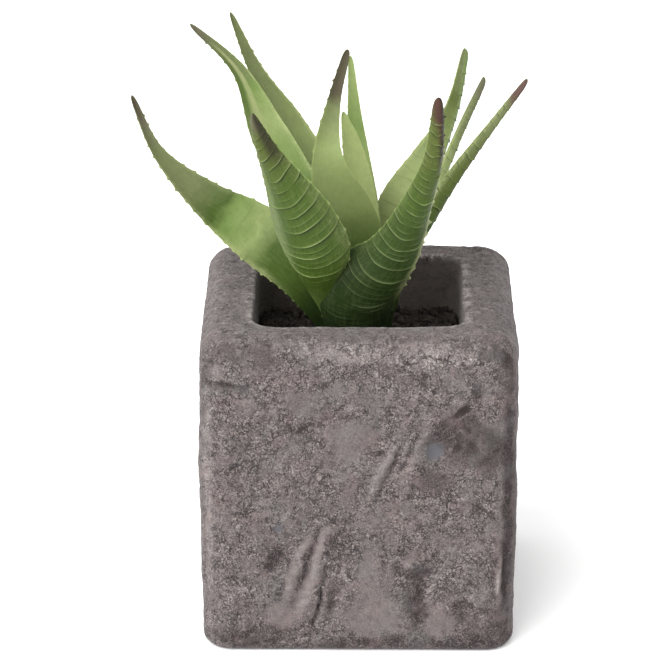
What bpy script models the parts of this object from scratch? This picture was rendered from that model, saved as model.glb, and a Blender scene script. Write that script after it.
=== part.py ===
"""A potted aloe: eleven toothed, cross-ridged leaves on a short stem, in soil, in a square cast pot.

Metres, +Z up. The origin is the centre of the pot's flat underside, and +Y is the back of the plant.
"""

import math
import random

import bmesh
import bpy
from mathutils import Vector, noise

MM = 0.001
GAP = 0.3 * MM
# How far a cutter grows along its normals, so that thin margins keep the gap too
GROWTH = 0.45 * MM

# Pot
POT_WIDTH = 65.5 * MM
POT_DEPTH = 65 * MM
POT_HEIGHT = 69 * MM
POT_FLOOR = 8 * MM
POT_CORNER = 6.5 * MM
POT_TOP_EDGE = 5 * MM
POT_BOTTOM_EDGE = 2.5 * MM
POT_WAIST = 0.3 * MM
POT_TOP_INSET = 0.5 * MM
POT_WIDEST = 0.83 * POT_HEIGHT
OPENING = 43.5 * MM
OPENING_CORNER = 5 * MM
FLOOR_CORNER = 1.5 * MM
SHARPEST = 1 * MM
# The softly worn inner edge of the rim: how far out from the opening's wall, and how far down
RIM_EDGE = ((2.2 * MM, 0), (0.9 * MM, 0), (0.25 * MM, 0.3 * MM), (0, 1.2 * MM))
UNDERSIDE_INSETS = (20 * MM, 8 * MM)
FLOOR_INSET = 12 * MM
WALL_WAVE = 0.35 * MM
WAVE_FROM = 9 * MM
WAVE_LENGTH = 16 * MM
RIPPLE_LENGTH = 6 * MM
POT_SIDES = 60
WALL_STEPS = 9
POT_COLOUR = (0.27, 0.245, 0.235)

# Broad dents in the wall: the side's direction in plan degrees, how far along it and how high the
# middle is, half its length, half its breadth, how far its length leans from upright, and its depth
POT_DENTS = (
    (-90, 17 * MM, 47 * MM, 14 * MM, 5 * MM, 35, 0.9 * MM),
    (-90, -9 * MM, 18 * MM, 12 * MM, 5 * MM, 25, 0.6 * MM),
    (-90, 25 * MM, 16 * MM, 9 * MM, 6 * MM, 10, 0.5 * MM),
    (0, -12 * MM, 30 * MM, 15 * MM, 6 * MM, -30, 0.8 * MM),
    (90, 14 * MM, 42 * MM, 13 * MM, 6 * MM, 40, 0.8 * MM),
    (90, -16 * MM, 20 * MM, 10 * MM, 7 * MM, -15, 0.6 * MM),
    (180, 10 * MM, 40 * MM, 14 * MM, 6 * MM, 25, 0.8 * MM),
)

# Soil
SOIL_TOP = 57 * MM
SOIL_BUMP = 0.7 * MM
LUMP, CRUMB = 4 * MM, 1.8 * MM
SOIL_SHOULDER = 0.8 * MM
SOIL_TOP_RINGS = (0.94, 0.82, 0.68, 0.54, 0.4, 0.26, 0.13)
SOIL_SIDES = 48
SOIL_COLOUR = (0.018, 0.014, 0.012)

# Stem: radius at height, from its foot in the soil to its top
STEM_PROFILE = ((4.2, 48), (4.4, 54), (4.6, 59), (4.0, 61.5), (2.6, 62.5))
STEM_SIDES = 20
HOLE_ABOVE_SOIL = 4 * MM
STEM_COLOUR = (0.16, 0.2, 0.06)

# Leaves, in millimetres. path: the points that the centre line passes through, evenly spaced from
# root to tip, each with the leaf's half width there. faces: the plan direction, in degrees, that
# the smooth inner face looks towards at the root and at the tip.
LEAVES = {
    "leaf_inner": {
        "path": (
            (1.2, 1.2, 62, 1.6),
            (2.2, 3.5, 72, 2.2),
            (1.7, 5.5, 80.5, 2.8),
            (0.2, 8.2, 89, 2.8),
            (-1.5, 10.5, 97, 2.1),
            (-3.5, 12, 104.5, 0.5),
        ),
        "faces": (-90, -90),
        "clears": ("stem",),
    },
    "leaf_back": {
        "path": (
            (1.8, 3.4, 61.5, 2),
            (2.5, 7.5, 74, 2.7),
            (1, 12.5, 83.5, 3.1),
            (-0.5, 18, 92.5, 2.7),
            (-1.2, 22.5, 102, 1.4),
            (-2, 25, 113, 0.5),
        ),
        "faces": (-90, -90),
        "clears": ("stem", "leaf_inner"),
    },
    "leaf_centre": {
        "path": (
            (0.4, -1.6, 62, 2.6),
            (0, -2.2, 75.5, 6),
            (-3, -4, 86.5, 6.4),
            (-6.5, -3, 98.5, 3.3),
            (-5.5, 3, 108.5, 1.5),
            (-2.5, 8, 119.2, 0.75),
        ),
        "faces": (-90, -90),
        "clears": ("stem", "leaf_inner"),
    },
    "leaf_back_left_high": {
        "path": (
            (-2, 4, 61.5, 2),
            (-3.6, 11, 75.5, 3.2),
            (-8.2, 19.5, 86.7, 3.5),
            (-14.6, 26, 97.1, 3),
            (-22.2, 31, 107.8, 1.6),
            (-27.9, 34.5, 120, 0.5),
        ),
        "faces": (-80, -80),
        "clears": ("stem", "leaf_back"),
    },
    "leaf_back_left_low": {
        "path": (
            (-3.6, 2.4, 60.5, 2.4),
            (-5, 4.2, 76.2, 4.3),
            (-12, 11, 86.4, 4.6),
            (-19.3, 18, 98, 4.1),
            (-25.7, 24.5, 109.8, 1.6),
            (-36.2, 27, 119.4, 0.5),
        ),
        "faces": (-70, -60),
        "clears": ("stem", "leaf_back_left_high", "leaf_inner"),
    },
    "leaf_back_right": {
        "path": (
            (3.8, 3.8, 60.5, 2.4),
            (5.3, 9.5, 72.5, 4.2),
            (8.2, 14.5, 82.7, 5.2),
            (14.2, 20, 91.9, 4),
            (19.4, 24, 101.8, 1.8),
            (22.3, 26, 114.5, 0.7),
        ),
        "faces": (-110, -150),
        "clears": ("stem", "leaf_back"),
    },
    "leaf_right_mid": {
        "path": (
            (4.6, 0.8, 60.5, 1.8),
            (8, 3.5, 72.5, 2.3),
            (12.1, 6, 82.5, 2),
            (16.6, 10, 92, 1.7),
            (21.1, 15.5, 100.5, 1.1),
            (26.2, 20, 110, 0.5),
        ),
        "faces": (180, 200),
        "clears": ("stem", "leaf_back_right"),
    },
    "leaf_right": {
        "path": (
            (4.4, -1.8, 60, 2.4),
            (6.5, -3, 73.5, 2.6),
            (12.4, -4, 84.2, 2.3),
            (19.1, -4, 95.3, 1.7),
            (26.5, -1.5, 104.9, 0.95),
            (34.6, 2, 114.7, 0.5),
        ),
        "faces": (140, 120),
        "clears": ("stem", "leaf_right_mid"),
    },
    "leaf_left": {
        "path": (
            (-4.6, -1.4, 60, 2.8),
            (-11.5, -1.8, 73, 5.8),
            (-21.8, 2.5, 80.8, 6.1),
            (-32.3, 6, 87.3, 3.8),
            (-42.2, 9, 96.3, 1.4),
            (-47.9, 12, 108, 0.5),
        ),
        "faces": (-50, -60),
        "clears": ("stem", "leaf_back_left_low"),
    },
    "leaf_front_right": {
        "path": (
            (-0.2, -4.4, 59.5, 5.6),
            (0.2, -9.1, 73, 8.7),
            (6.8, -15, 83.5, 6),
            (11, -21, 94, 3.6),
            (14.4, -25.2, 106, 1.8),
            (15.4, -27, 119.2, 0.8),
        ),
        "faces": (105, 110),
        "clears": ("stem", "leaf_right"),
    },
    "leaf_front_left": {
        "path": (
            (-3.6, -3.4, 60, 2),
            (-6.2, -7.4, 68.3, 2.4),
            (-7.9, -11.3, 76.5, 4.9),
            (-8.7, -14.5, 84, 8),
            (-11.4, -17.2, 91.6, 7.6),
            (-14.9, -19.2, 99.2, 5.1),
            (-18.5, -21, 106.7, 2.5),
            (-21.4, -23, 114.7, 0.7),
        ),
        "faces": (70, 50),
        "clears": ("stem", "leaf_front_right", "leaf_left"),
    },
}
LEAF_SIDES = 12
LEAF_THICK = 1.0
LEAF_THICK_SHARE = 0.3
LEAF_DISH_SHARE = 0.24
RIDGE_PITCH = 2.55
RIDGE_CROWDING = 0.22
RIDGE_HEIGHT = 0.38
RIDGE_STEP = 0.2
RIDGE_BOW = 0.22
RIDGES_FROM, RIDGES_TO = 0.1, 0.95
RIDGE_DRIFT = 0.13
BOW_FADE = 0.12
# Rings below and above the ridges: (share of the length, size), which round the leaf's two ends
ROOT_RINGS = ((0.006, 0.75), (0.03, 1))
TIP_RINGS = ((0.965, 1), (0.99, 0.8))
LEAST_HALF = 0.4
ALMOST_NOTHING = 1e-6
TOOTH = 0.4
LEAF_GREEN = (0.13, 0.21, 0.05)


def clear_scene():
    for obj in list(bpy.data.objects):
        bpy.data.objects.remove(obj, do_unlink=True)


def collection(name):
    made = bpy.data.collections.new(name)
    bpy.context.scene.collection.children.link(made)
    return made


def material(name, colour, roughness, metallic=0.0):
    made = bpy.data.materials.new(name)
    made.use_nodes = True
    shader = made.node_tree.nodes["Principled BSDF"]
    shader.inputs["Base Color"].default_value = (*colour, 1.0)
    shader.inputs["Roughness"].default_value = roughness
    shader.inputs["Metallic"].default_value = metallic
    made.diffuse_color = (*colour, 1.0)
    return made


def add_object(name, mesh, home, finish=None):
    obj = bpy.data.objects.new(name, mesh)
    home.objects.link(obj)
    if finish:
        mesh.materials.append(finish)
    mesh.shade_smooth()
    mesh.set_sharp_from_angle(angle=math.radians(50))
    return obj


def ball_mesh(name, sides, rings, place):
    """A UV sphere whose points are moved by place(ring, side). The first and last rings are its poles."""
    bm = bmesh.new()
    bmesh.ops.create_uvsphere(bm, u_segments=sides, v_segments=rings, radius=1)
    for vert in bm.verts:
        ring = round(math.acos(max(-1, min(1, vert.co.z))) / math.pi * rings)
        turn = math.atan2(vert.co.y, vert.co.x) / math.tau
        vert.co = place(ring, round(turn * sides) % sides)
    bm.normal_update()
    bmesh.ops.recalc_face_normals(bm, faces=bm.faces)
    bmesh.ops.triangulate(bm, faces=bm.faces)
    mesh = bpy.data.meshes.new(name)
    bm.to_mesh(mesh)
    bm.free()
    return mesh


def rounded_square(share, width, depth, corner):
    """The point, and its outward direction, at a share of the way round a rounded square's outline.

    It starts in the middle of the side at +X. In each quarter, half a side, a corner and half a side
    take a third each.
    """
    quarter, along = divmod(share * 4 % 4, 1)
    flat = 2 / 3
    half = (width / 2, depth / 2) if quarter % 2 == 0 else (depth / 2, width / 2)
    if along < flat / 2:
        angle = 0.0
        spot = (half[0], along / (flat / 2) * (half[1] - corner))
    elif along > 1 - flat / 2:
        angle = math.pi / 2
        spot = ((1 - along) / (flat / 2) * (half[0] - corner), half[1])
    else:
        angle = (along - flat / 2) / (1 - flat) * math.pi / 2
        spot = (half[0] - corner + corner * math.cos(angle), half[1] - corner + corner * math.sin(angle))
    turn = quarter * math.pi / 2
    cos, sin = math.cos(turn), math.sin(turn)
    out = (math.cos(angle + turn), math.sin(angle + turn))
    return Vector((spot[0] * cos - spot[1] * sin, spot[0] * sin + spot[1] * cos, 0)), Vector((*out, 0))


def wall_inset(height):
    """How far the cast wall stands in from its widest place, which is high up."""
    if height < POT_WIDEST:
        return POT_WAIST * (1 - height / POT_WIDEST) ** 2
    return POT_TOP_INSET * ((height - POT_WIDEST) / (POT_HEIGHT - POT_WIDEST)) ** 2


def pot_profile():
    """Rings from the middle of the underside, up the outside, over the rim and down to the inner floor."""
    rings = [("outer", inset, 0) for inset in UNDERSIDE_INSETS]
    for step in range(3):
        angle = step * math.pi / 4
        inset = POT_BOTTOM_EDGE * (1 - math.sin(angle))
        rings.append(("outer", inset, POT_BOTTOM_EDGE * (1 - math.cos(angle))))
    wall = POT_HEIGHT - POT_TOP_EDGE - POT_BOTTOM_EDGE
    for step in range(1, WALL_STEPS + 1):
        rings.append(("outer", 0, POT_BOTTOM_EDGE + wall * step / WALL_STEPS))
    for step in range(1, 4):
        angle = step * math.pi / 6
        inset = POT_TOP_EDGE * (1 - math.cos(angle))
        rings.append(("outer", inset, POT_HEIGHT - POT_TOP_EDGE * (1 - math.sin(angle))))
    rings += [("inner", -out, POT_HEIGHT - down) for out, down in RIM_EDGE]
    rings += [("inner", 0, height) for height in (SOIL_TOP, POT_HEIGHT / 2, POT_FLOOR + FLOOR_CORNER)]
    rings += [("inner", inset, POT_FLOOR) for inset in (FLOOR_CORNER, FLOOR_INSET)]
    return rings


def ring_point(which, inset, height, share):
    """A point on the pot's outline at this height, and the direction out of the pot there."""
    if which == "outer":
        inset += wall_inset(height)
    full = POT_CORNER if which == "outer" else OPENING_CORNER
    width, depth = (POT_WIDTH, POT_DEPTH) if which == "outer" else (OPENING, OPENING)
    spot, out = rounded_square(share, width - 2 * inset, depth - 2 * inset, max(full - inset, SHARPEST))
    return spot + Vector((0, 0, height)), out if which == "outer" else -out


def cast_wave(spot):
    """The hand-cast unevenness of the wall, which fades out towards the flat underside."""
    fade = min(1, max(0, spot.z / WAVE_FROM - 0.1))
    wide = noise.noise(spot / WAVE_LENGTH)
    fine = noise.noise(spot / RIPPLE_LENGTH + Vector((7, 3, 1)))
    return fade * (WALL_WAVE * (wide + 0.5 * fine) - dent_depth(spot))


def dent_depth(spot):
    """How deep the broad dents press the wall in here."""
    depth = 0.0
    for facing, middle, height, length, breadth, lean, deepest in POT_DENTS:
        turn, tilt = math.radians(facing), math.radians(lean)
        if spot.x * math.cos(turn) + spot.y * math.sin(turn) < POT_WIDTH / 4:
            continue
        along = spot.y * math.cos(turn) - spot.x * math.sin(turn) - middle
        up = spot.z - height
        lengthways = (up * math.cos(tilt) + along * math.sin(tilt)) / length
        sideways = (along * math.cos(tilt) - up * math.sin(tilt)) / breadth
        depth += deepest * math.exp(-(lengthways**2) - sideways**2)
    return depth


def make_pot(home):
    rings = pot_profile()
    last = len(rings) + 1

    def place(ring, side):
        if ring == 0:
            return Vector((0, 0, 0))
        if ring == last:
            return Vector((0, 0, POT_FLOOR))
        which, inset, height = rings[ring - 1]
        spot, out = ring_point(which, inset, height, side / POT_SIDES)
        wave = cast_wave(spot)
        if height == POT_HEIGHT:
            return spot + Vector((0, 0, wave))
        return spot + out * wave * (1 if which == "outer" else 0)

    mesh = ball_mesh("pot", POT_SIDES, last, place)
    return add_object("pot", mesh, home, material("cast cement", POT_COLOUR, 0.9))


def make_soil(home):
    foot = POT_FLOOR + GAP
    rings = [(FLOOR_CORNER + GAP, foot), (GAP, foot + FLOOR_CORNER)]
    rings += [(GAP, POT_HEIGHT / 3), (GAP, POT_HEIGHT * 2 / 3), (GAP, SOIL_TOP - 2 * SOIL_SHOULDER)]
    rings.append((SOIL_SHOULDER, SOIL_TOP - SOIL_SHOULDER / 2))
    last = len(rings) + len(SOIL_TOP_RINGS) + 1

    def place(ring, side):
        if ring == 0:
            return Vector((0, 0, foot))
        if ring == last:
            return Vector((0, 0, SOIL_TOP))
        if ring <= len(rings):
            inset, height = rings[ring - 1]
            return ring_point("inner", inset, height, side / SOIL_SIDES)[0]
        scale = SOIL_TOP_RINGS[ring - len(rings) - 1]
        spot = ring_point("inner", SOIL_SHOULDER, 0, side / SOIL_SIDES)[0] * scale
        bump = noise.noise(spot / LUMP) + 0.6 * noise.noise(spot / CRUMB)
        return spot + Vector((0, 0, SOIL_TOP + SOIL_BUMP * bump))

    mesh = ball_mesh("soil", SOIL_SIDES, last, place)
    return add_object("soil", mesh, home, material("soil", SOIL_COLOUR, 1.0))


def make_stem(home):
    profile = [(0, STEM_PROFILE[-1][1])] + list(reversed(STEM_PROFILE)) + [(0, STEM_PROFILE[0][1])]
    mesh = bpy.data.meshes.new("stem")
    points = [(radius * MM, 0, height * MM) for radius, height in profile]
    mesh.from_pydata(points, [(i, i + 1) for i in range(len(points) - 1)], [])
    stem = add_object("stem", mesh, home, material("stalk", STEM_COLOUR, 0.6))
    turn = stem.modifiers.new("turned", "SCREW")
    turn.steps = STEM_SIDES
    turn.render_steps = STEM_SIDES
    turn.use_merge_vertices = True
    turn.merge_threshold = 0.00001
    return stem


def stem_hole(cutters):
    """The cutter for a plain hole in the soil, for the stem's foot."""
    radius = STEM_PROFILE[1][0] * MM + GAP
    foot = STEM_PROFILE[0][1] * MM - GAP
    top = SOIL_TOP + HOLE_ABOVE_SOIL
    bpy.ops.mesh.primitive_cylinder_add(
        vertices=STEM_SIDES, radius=radius, depth=top - foot, location=(0, 0, (top + foot) / 2)
    )
    cutter = bpy.context.object
    cutter.name = "stem_hole"
    for owner in list(cutter.users_collection):
        owner.objects.unlink(cutter)
    cutters.objects.link(cutter)
    cutter.hide_render = True
    cutter.display_type = "WIRE"
    return cutter


def eased(values, share):
    """A smooth curve through values, numbers or vectors, at even stations."""
    place = min(max(share, 0), 1) * (len(values) - 1)
    step = min(int(place), len(values) - 2)
    part = place - step
    here, after = values[step], values[step + 1]
    before = values[step - 1] if step else 2 * here - after
    beyond = values[step + 2] if step + 2 < len(values) else 2 * after - here
    bend = 2 * before - 5 * here + 4 * after - beyond
    twist = 3 * here - before - 3 * after + beyond
    return 0.5 * (2 * here + (after - before) * part + bend * part**2 + twist * part**3)


class CentreLine:
    """A leaf's centre line, with its half width and the frame across it."""

    NEAR = 0.002

    def __init__(self, path, faces):
        self.spots = [Vector(point[:3]) * MM for point in path]
        self.halves = [point[3] for point in path]
        self.faces = faces
        self.length = sum((after - before).length for before, after in zip(self.spots, self.spots[1:]))

    def half(self, share):
        return max(eased(self.halves, share), LEAST_HALF)

    def frame(self, share):
        """The point, and the directions along, across and out of the inner face."""
        inside = min(max(share, self.NEAR), 1 - self.NEAR)
        ahead = eased(self.spots, inside + self.NEAR)
        behind = eased(self.spots, inside - self.NEAR)
        along = (ahead - behind).normalized()
        spot = eased(self.spots, share)
        angle = math.radians(self.faces[0] + (self.faces[1] - self.faces[0]) * share)
        look = Vector((math.cos(angle), math.sin(angle), 0))
        inward = (look - along * look.dot(along)).normalized()
        return spot, along, inward.cross(along), inward


def leaf_rings(length, draw):
    """(share of the length, how far it stands on a ridge, size) for each ring from root to tip.

    The ridges crowd together towards the root and the tip.
    """
    rings = [(share, 0, size) for share, size in ROOT_RINGS]
    count = round((RIDGES_TO - RIDGES_FROM) * length / (RIDGE_PITCH * MM))
    pitch = (RIDGES_TO - RIDGES_FROM) / count
    for ridge in range(count):
        turn = ridge / count * math.tau
        crowded = ridge - RIDGE_CROWDING * count * math.sin(turn) / math.tau
        foot = RIDGES_FROM + pitch * (crowded + draw.uniform(-RIDGE_DRIFT, RIDGE_DRIFT))
        rings.append((foot, 0, 1))
        rings.append((foot + RIDGE_STEP * pitch, 1, 1))
    return rings + [(share, 0, size) for share, size in TIP_RINGS]


def make_leaf(name, leaf, home, seed):
    """A blade with a dished inner face, a round back that carries the ridges, and toothed margins."""
    draw = random.Random(seed)
    line = CentreLine(leaf["path"], leaf["faces"])
    rings = leaf_rings(line.length, draw)
    last = len(rings) + 1

    def place(ring, side):
        if ring == 0 or ring == last:
            return line.frame(0.0 if ring == 0 else 1.0)[0]
        share, crest, size = rings[ring - 1]
        half = line.half(share) * size
        angle = side / LEAF_SIDES * math.tau
        across, belly = math.cos(angle) * half, abs(math.sin(angle))
        depth = LEAF_DISH_SHARE * half * belly**2
        if math.sin(angle) > ALMOST_NOTHING:
            depth += (LEAF_THICK + LEAF_THICK_SHARE * half) * size * belly
            depth += crest * RIDGE_HEIGHT * belly**0.5
            bow = RIDGE_BOW * half * belly * MM / line.length
            share -= bow * min(1, share / RIDGES_FROM, (1 - share) / BOW_FADE)
        elif belly < ALMOST_NOTHING:
            across += math.copysign(crest * TOOTH, across)
        spot, along, sideways, inward = line.frame(share)
        return spot + (sideways * across - inward * depth) * MM

    mesh = ball_mesh(name, LEAF_SIDES, last, place)
    return add_object(name, mesh, home, material(name, LEAF_GREEN, 0.45))


def room_around(piece, cutters):
    """A copy of a piece, grown by the gap, that cuts its neighbours clear of it."""
    room = piece.copy()
    room.data = piece.data.copy()
    room.name = "room_around_" + piece.name
    cutters.objects.link(room)
    room.hide_render = True
    room.display_type = "WIRE"
    grow = room.modifiers.new("grown", "DISPLACE")
    grow.strength = GROWTH
    grow.mid_level = 0.0
    return room


def cut(piece, cutter, name):
    modifier = piece.modifiers.new(name, "BOOLEAN")
    modifier.object = cutter


def main():
    clear_scene()
    home = collection("potted_aloe")
    cutters = collection("cutters")
    make_pot(home)
    soil = make_soil(home)
    cut(soil, stem_hole(cutters), "stem hole")
    rooms = {"stem": room_around(make_stem(home), cutters)}
    for seed, (name, leaf) in enumerate(LEAVES.items()):
        piece = make_leaf(name, leaf, home, seed)
        rooms[name] = room_around(piece, cutters)
        for other in leaf["clears"]:
            cut(piece, rooms[other], "clear of " + other)


main()
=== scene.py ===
"""The looks of the potted aloe: ridged leaves, stem, soil, crumbly cast pot and a plain studio.

Metres, +Z up, round the fixed frame. The pot's and the leaves' lines repeat those of the solids. Each
solid piece is a ball of points moved into place, so every mesh is closed. Points carry marks, such as
how far along the leaf they are or how near a ridge's lip, which the finishes read.
"""

import itertools
import math
import random

import bmesh
import bpy
import numpy as np
from mathutils import Matrix, Vector, noise


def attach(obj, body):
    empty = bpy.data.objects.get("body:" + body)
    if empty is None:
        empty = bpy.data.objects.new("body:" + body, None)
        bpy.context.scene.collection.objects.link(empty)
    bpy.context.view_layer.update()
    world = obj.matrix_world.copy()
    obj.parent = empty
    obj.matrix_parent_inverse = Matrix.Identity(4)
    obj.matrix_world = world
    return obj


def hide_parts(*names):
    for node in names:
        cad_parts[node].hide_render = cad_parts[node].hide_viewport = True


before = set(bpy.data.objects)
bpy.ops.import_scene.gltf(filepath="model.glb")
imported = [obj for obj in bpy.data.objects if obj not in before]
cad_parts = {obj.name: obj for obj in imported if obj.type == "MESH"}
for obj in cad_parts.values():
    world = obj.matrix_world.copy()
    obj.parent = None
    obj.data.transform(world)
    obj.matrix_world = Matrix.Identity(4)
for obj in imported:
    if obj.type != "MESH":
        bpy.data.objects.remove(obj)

bl_info = {
    "name": "Potted Aloe",
    "version": (1, 0, 0),
    "blender": (4, 5, 0),
    "location": "3D View > Sidebar > Potted Aloe",
    "description": "Fine meshes and procedural finishes for a potted aloe",
    "category": "Object",
}

MM = 0.001
BODY = "root"
# How bright a white surface is under the studio's lights, so that finishes can be given as they look
LIGHT_LEVEL = 1.6

# Pot, as in the solids
POT_WIDTH = 65.5 * MM
POT_DEPTH = 65 * MM
POT_HEIGHT = 69 * MM
POT_FLOOR = 8 * MM
POT_CORNER = 6.5 * MM
POT_TOP_EDGE = 5 * MM
POT_BOTTOM_EDGE = 2.5 * MM
# How far the wall stands in from its widest place at the foot and at the top, and how high that place is
POT_WAIST = 0.3 * MM
POT_TOP_INSET = 0.5 * MM
POT_WIDEST = 0.83 * POT_HEIGHT
OPENING = 43.5 * MM
OPENING_CORNER = 5 * MM
FLOOR_CORNER = 1.5 * MM
SHARPEST = 1 * MM
# The waves of the cast wall: their height, how high up they start, and the lengths of two kinds
WALL_WAVE = 0.35 * MM
WAVE_FROM = 9 * MM
WAVE_LENGTH = 16 * MM
RIPPLE_LENGTH = 6 * MM

# The pot's sides, by the direction that each faces, in plan degrees
FRONT, RIGHT, BACK, LEFT = -90, 0, 90, 180
# In millimetres, from here to the air pits. Broad dents in each side: how far along it and how high
# the middle is, half its length, half its breadth, how far its length leans from upright, and its depth
POT_DENTS = {
    FRONT: (
        (17, 47, 14, 5, 35, 0.9),
        (-9, 18, 12, 5, 25, 0.6),
        (25, 16, 9, 6, 10, 0.5),
    ),
    RIGHT: ((-12, 30, 15, 6, -30, 0.8),),
    BACK: (
        (14, 42, 13, 6, 40, 0.8),
        (-16, 20, 10, 7, -15, 0.6),
    ),
    LEFT: ((10, 40, 14, 6, 25, 0.8),),
}
# The crumbly skin was dragged upwards and to the right: the axes of the strokes, and their sizes
STROKE_FRAME = np.array([[0.86, 0, 0.5], [0, 1, 0], [-0.5, 0, 0.86]])
STROKE_SHAPE = np.array([2.2, 4, 9]) * MM
# Folds and cracks that the pour left, given like the dents; a negative depth stands proud
POT_FOLDS = {
    FRONT: (
        (-7.1, 25, 4.5, 1.5, 18, -0.34),
        (-9.6, 17.5, 5.5, 1.4, 17, -0.34),
        (-11.6, 11, 4, 1.3, 22, -0.35),
        (-11.3, 24.5, 3.5, 1.2, 32, -0.24),
        (-13.4, 17.5, 6, 1.4, 14, -0.32),
        (-10.9, 19, 5, 0.8, 20, 0.34),
        (-8.2, 11.8, 6.2, 0.33, 12, 1.1),
        (-6.4, 19.5, 4, 0.9, 22, 0.25),
        (-5.4, 11.5, 4.5, 1.2, 26, 0.3),
        (-17.5, 20.5, 5, 1.3, 40, 0.35),
        (6.6, 41, 7, 0.8, 24, 0.45),
        (4.6, 40.5, 9, 1.2, 26, -0.35),
        (12.3, 45, 5.5, 1.1, 26, -0.35),
        (10.7, 44.5, 4, 0.5, 26, 0.5),
        (-5, 54, 3, 0.3, 42, 0.3),
        (-12, 50, 2.6, 0.9, 55, 0.3),
        (-28.5, 59.8, 4, 0.45, 90, 0.32),
        (-28.5, 61.4, 4.5, 0.8, 90, -0.08),
        (21.2, 54.1, 1.3, 0.7, 48, 0.7),
        (19, 52, 3.5, 0.9, 55, 0.3),
        (24.2, 58.5, 2.4, 1.2, 20, 0.22),
        (15.6, 45, 1.9, 1.8, 0, 0.3),
        (21, 47, 6, 4, 60, 0.4),
        (12.8, 13, 6.5, 2, 6, 0.4),
        (12.4, 28.4, 1.2, 0.8, 0, 0.5),
        (8.5, 18.5, 2, 1, -35, 0.4),
        (29.6, 17.5, 5.5, 0.35, 0, -0.3),
        (30.6, 17.5, 6.5, 0.35, 0, 0.3),
        (25, 33, 1.5, 1.2, 30, 0.35),
    ),
    RIGHT: (
        (8, 22, 12, 1.4, 30, -0.5),
        (10.5, 21, 11, 0.5, 30, 0.6),
        (-14, 44, 7, 1.1, -30, 0.35),
    ),
    BACK: (
        (-6, 46, 12, 1.4, -35, -0.5),
        (-3.6, 46, 11, 0.5, -35, 0.6),
        (16, 18, 8, 1.2, 25, -0.35),
    ),
    LEFT: (
        (-12, 24, 12, 1.4, 20, -0.5),
        (-9.8, 24, 11, 0.5, 20, 0.6),
        (14, 50, 6, 1.1, 45, 0.35),
    ),
}
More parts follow.
